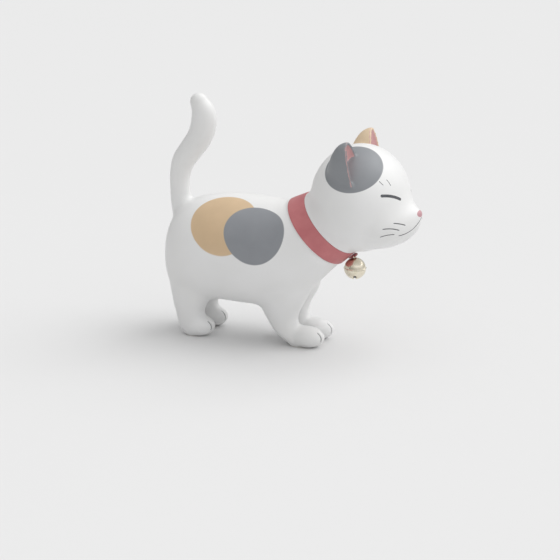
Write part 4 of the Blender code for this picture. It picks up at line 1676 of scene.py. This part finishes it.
@dataclass
class RoundBell:
    """Two pressed cups on a wire bail in a folded tab, with a loose pellet."""

    pivot: Row = (92.0, 0.0, 103.2)
    drop: float = 14.6
    radius: float = 11.7
    wall: float = 0.7
    rim: float = 0.5
    gap: float = 0.3
    bail_hole: float = 1.35
    bail_wire: float = 0.45
    bail_half_width: float = 5.1
    pellet: float = 2.9
    slot_half_width: float = 0.9
    slot_end_radius: float = 1.8
    slot_end_angle: float = math.radians(52.0)
    slot_turn: float = math.radians(-18.0)
    tab_half_width: float = 4.4
    tab_thick: float = 0.9
    tab_reach: float = 8.0
    tab_gap: float = 0.3
    fold_radius: float = 1.5
    fold_hole: float = 0.85

    def centre(self) -> Vector:
        """Return the middle of the bell."""
        return LAYOUT.place(self.pivot[0], 0.0, self.pivot[2] - self.drop)

    def arc(self, radius: float, start: float, end: float, steps: int) -> list[tuple[float, float]]:
        """Return radius and height pairs along an arc of angles above the equator."""
        angles = (start + (end - start) * step / steps for step in range(steps + 1))
        return [(radius * math.cos(angle), radius * math.sin(angle)) for angle in angles]

    def upper_cup(self) -> bpy.types.Object:
        """Turn the upper cup with its crimped rim and the hole for the bail.

        Returns:
            The upper cup.
        """
        inner = self.radius - self.wall
        low = self.gap / 2
        lip = self.radius + self.rim
        rim = [(lip - 0.2, 1.05), (lip, 0.85), (lip, low + 0.15), (lip - 0.15, low), (inner, low)]
        outer_arc = self.arc(self.radius, math.acos(self.bail_hole / self.radius),
                             math.asin(1.35 / self.radius), 28)
        inner_arc = self.arc(inner, math.asin(1.0 / inner), math.acos(self.bail_hole / inner), 20)
        return turned("bell_cup_upper", outer_arc + rim + inner_arc, 128, Matrix.Translation(self.centre()))

    def slot_tool(self) -> bpy.types.Object:
        """Return the tool for the sounding slot and the round holes at its ends.

        Returns:
            The tool.
        """
        centre = self.centre()
        reach = self.radius * math.sin(self.slot_end_angle) * MM
        depth = 12.0
        shape = bmesh.new()
        bmesh.ops.create_cube(shape, size=1.0)
        size = Matrix.Diagonal((2 * self.slot_half_width * MM, 2 * reach, depth * MM, 1.0))
        turn = Matrix.Rotation(-self.slot_turn, 4, "Z")
        sink = Matrix.Translation(centre - Vector((0.0, 0.0, (depth / 2 + self.radius * 0.5) * MM)))
        bmesh.ops.transform(shape, matrix=sink @ turn @ size, verts=shape.verts)
        tool = from_bmesh("tool_slot", shape)
        heading = Vector((math.sin(self.slot_turn), math.cos(self.slot_turn), 0.0))
        for side in Side:
            out = heading * side.value * math.sin(self.slot_end_angle)
            out = out - Vector((0.0, 0.0, math.cos(self.slot_end_angle)))
            near = centre + out * (self.radius - 3.0) * MM
            far = centre + out * (self.radius + 3.0) * MM
            combine(tool, rod("tool_hole", near, far, self.slot_end_radius, 48), "UNION")
        return tool

    def lower_cup(self) -> bpy.types.Object:
        """Turn the lower cup and cut its sounding slot.

        Returns:
            The lower cup.
        """
        inner = self.radius - self.wall
        low = -self.gap / 2
        outer_arc = self.arc(self.radius, math.asin(low / self.radius), -math.pi / 2, 28)
        inner_arc = self.arc(inner, -math.pi / 2, math.asin(low / inner), 24)
        outer_arc[-1] = (0.0, -self.radius)
        inner_arc[0] = (0.0, -inner)
        cup = turned("bell_cup_lower", outer_arc + inner_arc, 128, Matrix.Translation(self.centre()))
        return combine(cup, self.slot_tool(), "DIFFERENCE")

    def bail(self) -> bpy.types.Object:
        """Bend the wire that turns in the fold and is spread inside the cup.

        Returns:
            The bent wire.
        """
        top = self.radius - self.drop
        half = self.bail_half_width
        side = [
            (half - 0.9, 0.0),
            (half - 0.25, -0.28),
            (half, -0.9),
            (half - 0.2, top + 1.15),
            (half - 1.0, top + 0.75),
            (1.6, top + 0.75),
            (0.85, top + 0.55),
            (0.62, top - 0.1),
            (0.75, top - 1.4),
            (1.7, top - 2.0),
            (3.0, top - 2.3),
        ]
        route = [(-y, z) for y, z in reversed(side)] + side
        rows = [Vector((0.0, y * MM, z * MM)) + LAYOUT.place(*self.pivot) for y, z in route]
        fine = [Vector(row) for row in smooth_rows(tuple(tuple(row) for row in rows), 4)]
        rings = []
        for index, point in enumerate(fine):
            heading = (fine[min(index + 1, len(fine) - 1)] - fine[max(index - 1, 0)]).normalized()
            out = Vector((self.bail_wire * MM, 0.0, 0.0))
            rings.append(oval(point, out, heading.cross(Vector((1.0, 0.0, 0.0))) * self.bail_wire * MM, 16))
        return loft("bell_wire", rings)

    def tab(self) -> bpy.types.Object:
        """Extrude the folded tab that holds the bail, with softened edges.

        Returns:
            The folded tab.
        """
        out = -LAYOUT.rise()
        half = LAYOUT.strap_width / 2
        edge = LAYOUT.centre(half) + out * LAYOUT.strap_outer(half)
        start = LAYOUT.centre(half - self.tab_reach) + out * LAYOUT.strap_outer(half - self.tab_reach)
        along = (edge - start).normalized()
        lift = Vector((along.z, 0.0, -along.x))
        pivot = Vector(self.pivot)
        outline = [start + lift * self.tab_gap, edge - along * 0.5 + lift * self.tab_gap]
        first = math.atan2(-along.x, along.z) + math.pi / 2
        steps = 24
        for step in range(steps + 1):
            angle = first + math.radians(110.0) - math.radians(200.0) * step / steps
            outline.append(pivot + Vector((math.cos(angle), 0.0, math.sin(angle))) * self.fold_radius)
        outline.append(start + lift * (self.tab_gap + self.tab_thick))
        wide = Vector((0.0, self.tab_half_width * MM, 0.0))
        shape = bmesh.new()
        face = shape.faces.new([shape.verts.new(LAYOUT.place(*point) - wide) for point in outline])
        grown = bmesh.ops.extrude_face_region(shape, geom=[face])
        moved = [part for part in grown["geom"] if isinstance(part, bmesh.types.BMVert)]
        bmesh.ops.translate(shape, verts=moved, vec=wide * 2)
        bmesh.ops.recalc_face_normals(shape, faces=shape.faces)
        item = from_bmesh("bell_tab_leather", shape)
        reach = Vector((0.0, 10.0 * MM, 0.0))
        fold = LAYOUT.place(*self.pivot)
        combine(item, rod("tool_fold", fold - reach, fold + reach, self.fold_hole, 48), "DIFFERENCE")
        bevel = item.modifiers.new("edges", "BEVEL")
        bevel.width = 0.15 * MM
        bevel.segments = 2
        bevel.limit_method = "ANGLE"
        bpy.context.view_layer.update()
        return bake(item)

    def build(self, gold: bpy.types.Material, steel: bpy.types.Material,
              leather: bpy.types.Material) -> None:
        """Build and dress the tab, the bail, both cups and the pellet.

        Args:
            gold: The finish of the bail and the cups.
            steel: The pellet's finish.
            leather: The tab's finish, a darker red leather whose extra darkness is painted shade from the
                head above it.
        """
        x, _, z = self.pivot
        rest = self.radius - self.wall - self.gap - self.pellet
        pellet = ellipsoid("bell_pellet_ball", (x, 0.0, z - self.drop - rest), (self.pellet,) * 3, 48)
        pieces = (
            (self.tab(), leather, Part.FIGURINE, "tab", "bell_tab", 40.0),
            (self.bail(), gold, Part.BELL, "bail_wire", "bell_bail", 60.0),
            (self.upper_cup(), gold, Part.BELL, "bell_metal", "bell_upper_cup", 35.0),
            (self.lower_cup(), gold, Part.BELL, "bell_metal", "bell_lower_cup", 35.0),
            (pellet, steel, Part.PELLET, "pellet_steel", "bell_pellet", 60.0),
        )
        for item, finish, part, slot, node, sharp in pieces:
            shade_smooth(item, sharp)
            paint_with(item, finish)
            hand_over(item, part, slot, node)


@dataclass
class Studio:
    """A pale floor, soft light from high on the right, and the camera."""

    eye: Row = (633.4, -1676.5, 597.6)
    forward: Row = (-0.3358, 0.898, -0.2844)
    lens: float = 110.25
    floor_size: float = 14.0
    sky_low: float = 0.27
    sky_high: float = 1.12
    tilt: float = 0.35
    sun: float = 1.2
    sun_from: Row = (0.63, 0.42, 1.0)
    sun_spread: float = math.radians(55.0)

    def floor(self) -> None:
        """Lay a wide pale floor under the feet."""
        shape = bmesh.new()
        bmesh.ops.create_grid(shape, x_segments=1, y_segments=1, size=self.floor_size / 2)
        item = from_bmesh("studio_floor", shape)
        sheet = Sheet("studio_paper")
        sheet.feed(sheet.mix(sheet.noise(2.0), paint(222, 222, 222), paint(223, 223, 223)), "Base Color")
        sheet.set(Roughness=0.85)
        sheet.shader.inputs["Specular IOR Level"].default_value = 0.1
        paint_with(item, sheet.material)

    def light(self) -> None:
        """Light the set with a pale sky and one soft, high source."""
        world = bpy.data.worlds.new("studio_sky")
        world.use_nodes = True
        bpy.context.scene.world = world
        nodes, links = world.node_tree.nodes, world.node_tree.links
        heading = nodes.new("ShaderNodeTexCoord")
        lean = nodes.new("ShaderNodeVectorMath")
        lean.operation = "DOT_PRODUCT"
        lean.inputs[1].default_value = (self.tilt, 0.0, 1.0)
        links.new(heading.outputs["Generated"], lean.inputs[0])
        fade = nodes.new("ShaderNodeMapRange")
        fade.inputs["To Min"].default_value = self.sky_low
        fade.inputs["To Max"].default_value = self.sky_high
        links.new(lean.outputs["Value"], fade.inputs["Value"])
        links.new(fade.outputs[0], nodes["Background"].inputs["Strength"])
        nodes["Background"].inputs["Color"].default_value = (1.0, 1.0, 1.0, 1.0)
        lamp = bpy.data.lights.new("studio_key", "SUN")
        lamp.energy = self.sun
        lamp.angle = self.sun_spread
        key = bpy.data.objects.new("studio_key", lamp)
        key.rotation_euler = Vector(self.sun_from).to_track_quat("Z", "Y").to_euler()
        bpy.context.scene.collection.objects.link(key)

    def camera(self) -> None:
        """Set the camera."""
        lens = bpy.data.cameras.new("studio_camera")
        lens.lens = self.lens
        lens.sensor_width = 36.0
        lens.clip_end = 50.0
        item = bpy.data.objects.new("studio_camera", lens)
        item.location = LAYOUT.place(*self.eye)
        item.rotation_euler = Vector(self.forward).to_track_quat("-Z", "Y").to_euler()
        bpy.context.scene.collection.objects.link(item)
        bpy.context.scene.camera = item
        scene = bpy.context.scene
        scene.view_settings.view_transform = "Standard"


def head_patches(head: HeadCasting) -> tuple[Patch | EarBack | EarHollow, ...]:
    """Return the paint on the head, the ears and the nose.

    Args:
        head: The head that is painted.

    Returns:
        The patches in the order they are laid on.
    """
    grey = paint(140, 143, 147)
    tan = paint(230, 206, 174)
    pink = paint(214, 168, 168)
    right = EarBack(head.skull, (90.0, -44.0, 214.0), (34.0, 32.0, 34.0), grey)
    left = EarBack(head.skull, (90.0, 44.0, 214.0), (34.0, 32.0, 34.0), tan)
    x, y, z, length, width, height = head.nose
    return (
        Patch((99.5, -45.0, 207.5), (32.5, 49.0, 24.0), grey),
        right,
        left,
        EarHollow(right, head.ear.base, head.ear.mouth_normal(Side.RIGHT), pink),
        EarHollow(left, head.ear.base, head.ear.mouth_normal(Side.LEFT), pink),
        Patch((x, y, z), (length + 1.2, width + 0.2, height + 0.3), paint(196, 148, 154)),
    )


def body_patches() -> tuple[Spot, ...]:
    """Return the two overlapping patches on the right flank."""
    return (
        Spot((-44.5, -45.0, 144.5), 38.0, 33.0, paint(216, 188, 152)),
        Spot((-7.5, -45.0, 132.5), 34.0, 29.0, paint(144, 147, 152)),
    )


def main() -> None:
    """Build every piece in order, then the studio."""
    logging.basicConfig(level=logging.INFO, format="%(name)s %(message)s")
    # One dark enamel serves the face lines, which are paint, and the toe lines, which are partly paint and
    # partly painted shade of the toe grooves.
    enamel = Enamel("enamel_and_toe_groove_shade", paint(72, 74, 78), paint(88, 90, 94)).make()
    tail_form = TailForm()
    body = BodyCasting(tail_form)
    grown = body.grow()
    TailCasting(tail_form).build(grown, Glaze("tail_glaze_paint").make())
    body.build(grown, Glaze("body_glaze_paint", body_patches()).make(), enamel)
    head = HeadCasting()
    head.build(Glaze("head_glaze_paint", head_patches(head)).make(), enamel)
    CollarStrap().build(Strap("rose_leather", paint(198, 121, 123), paint(189, 110, 114)).make())
    gold = Plate("pale_gold", paint(240, 232, 214), paint(228, 218, 194), 0.17).make()
    steel = Plate("pellet_metal", paint(150, 150, 150), paint(120, 120, 120), 0.35).make()
    # The tab is the strap's leather in a darker red. The extra darkness is painted shade, where the tab hangs
    # under the head beside the bell.
    tab_leather_with_painted_shade = Strap("tab_leather_painted_shade", paint(150, 66, 68), paint(134, 56, 60)).make()
    RoundBell().build(gold, steel, tab_leather_with_painted_shade)
    studio = Studio()
    studio.floor()
    studio.light()
    studio.camera()


if __name__ == "__main__":
    main()
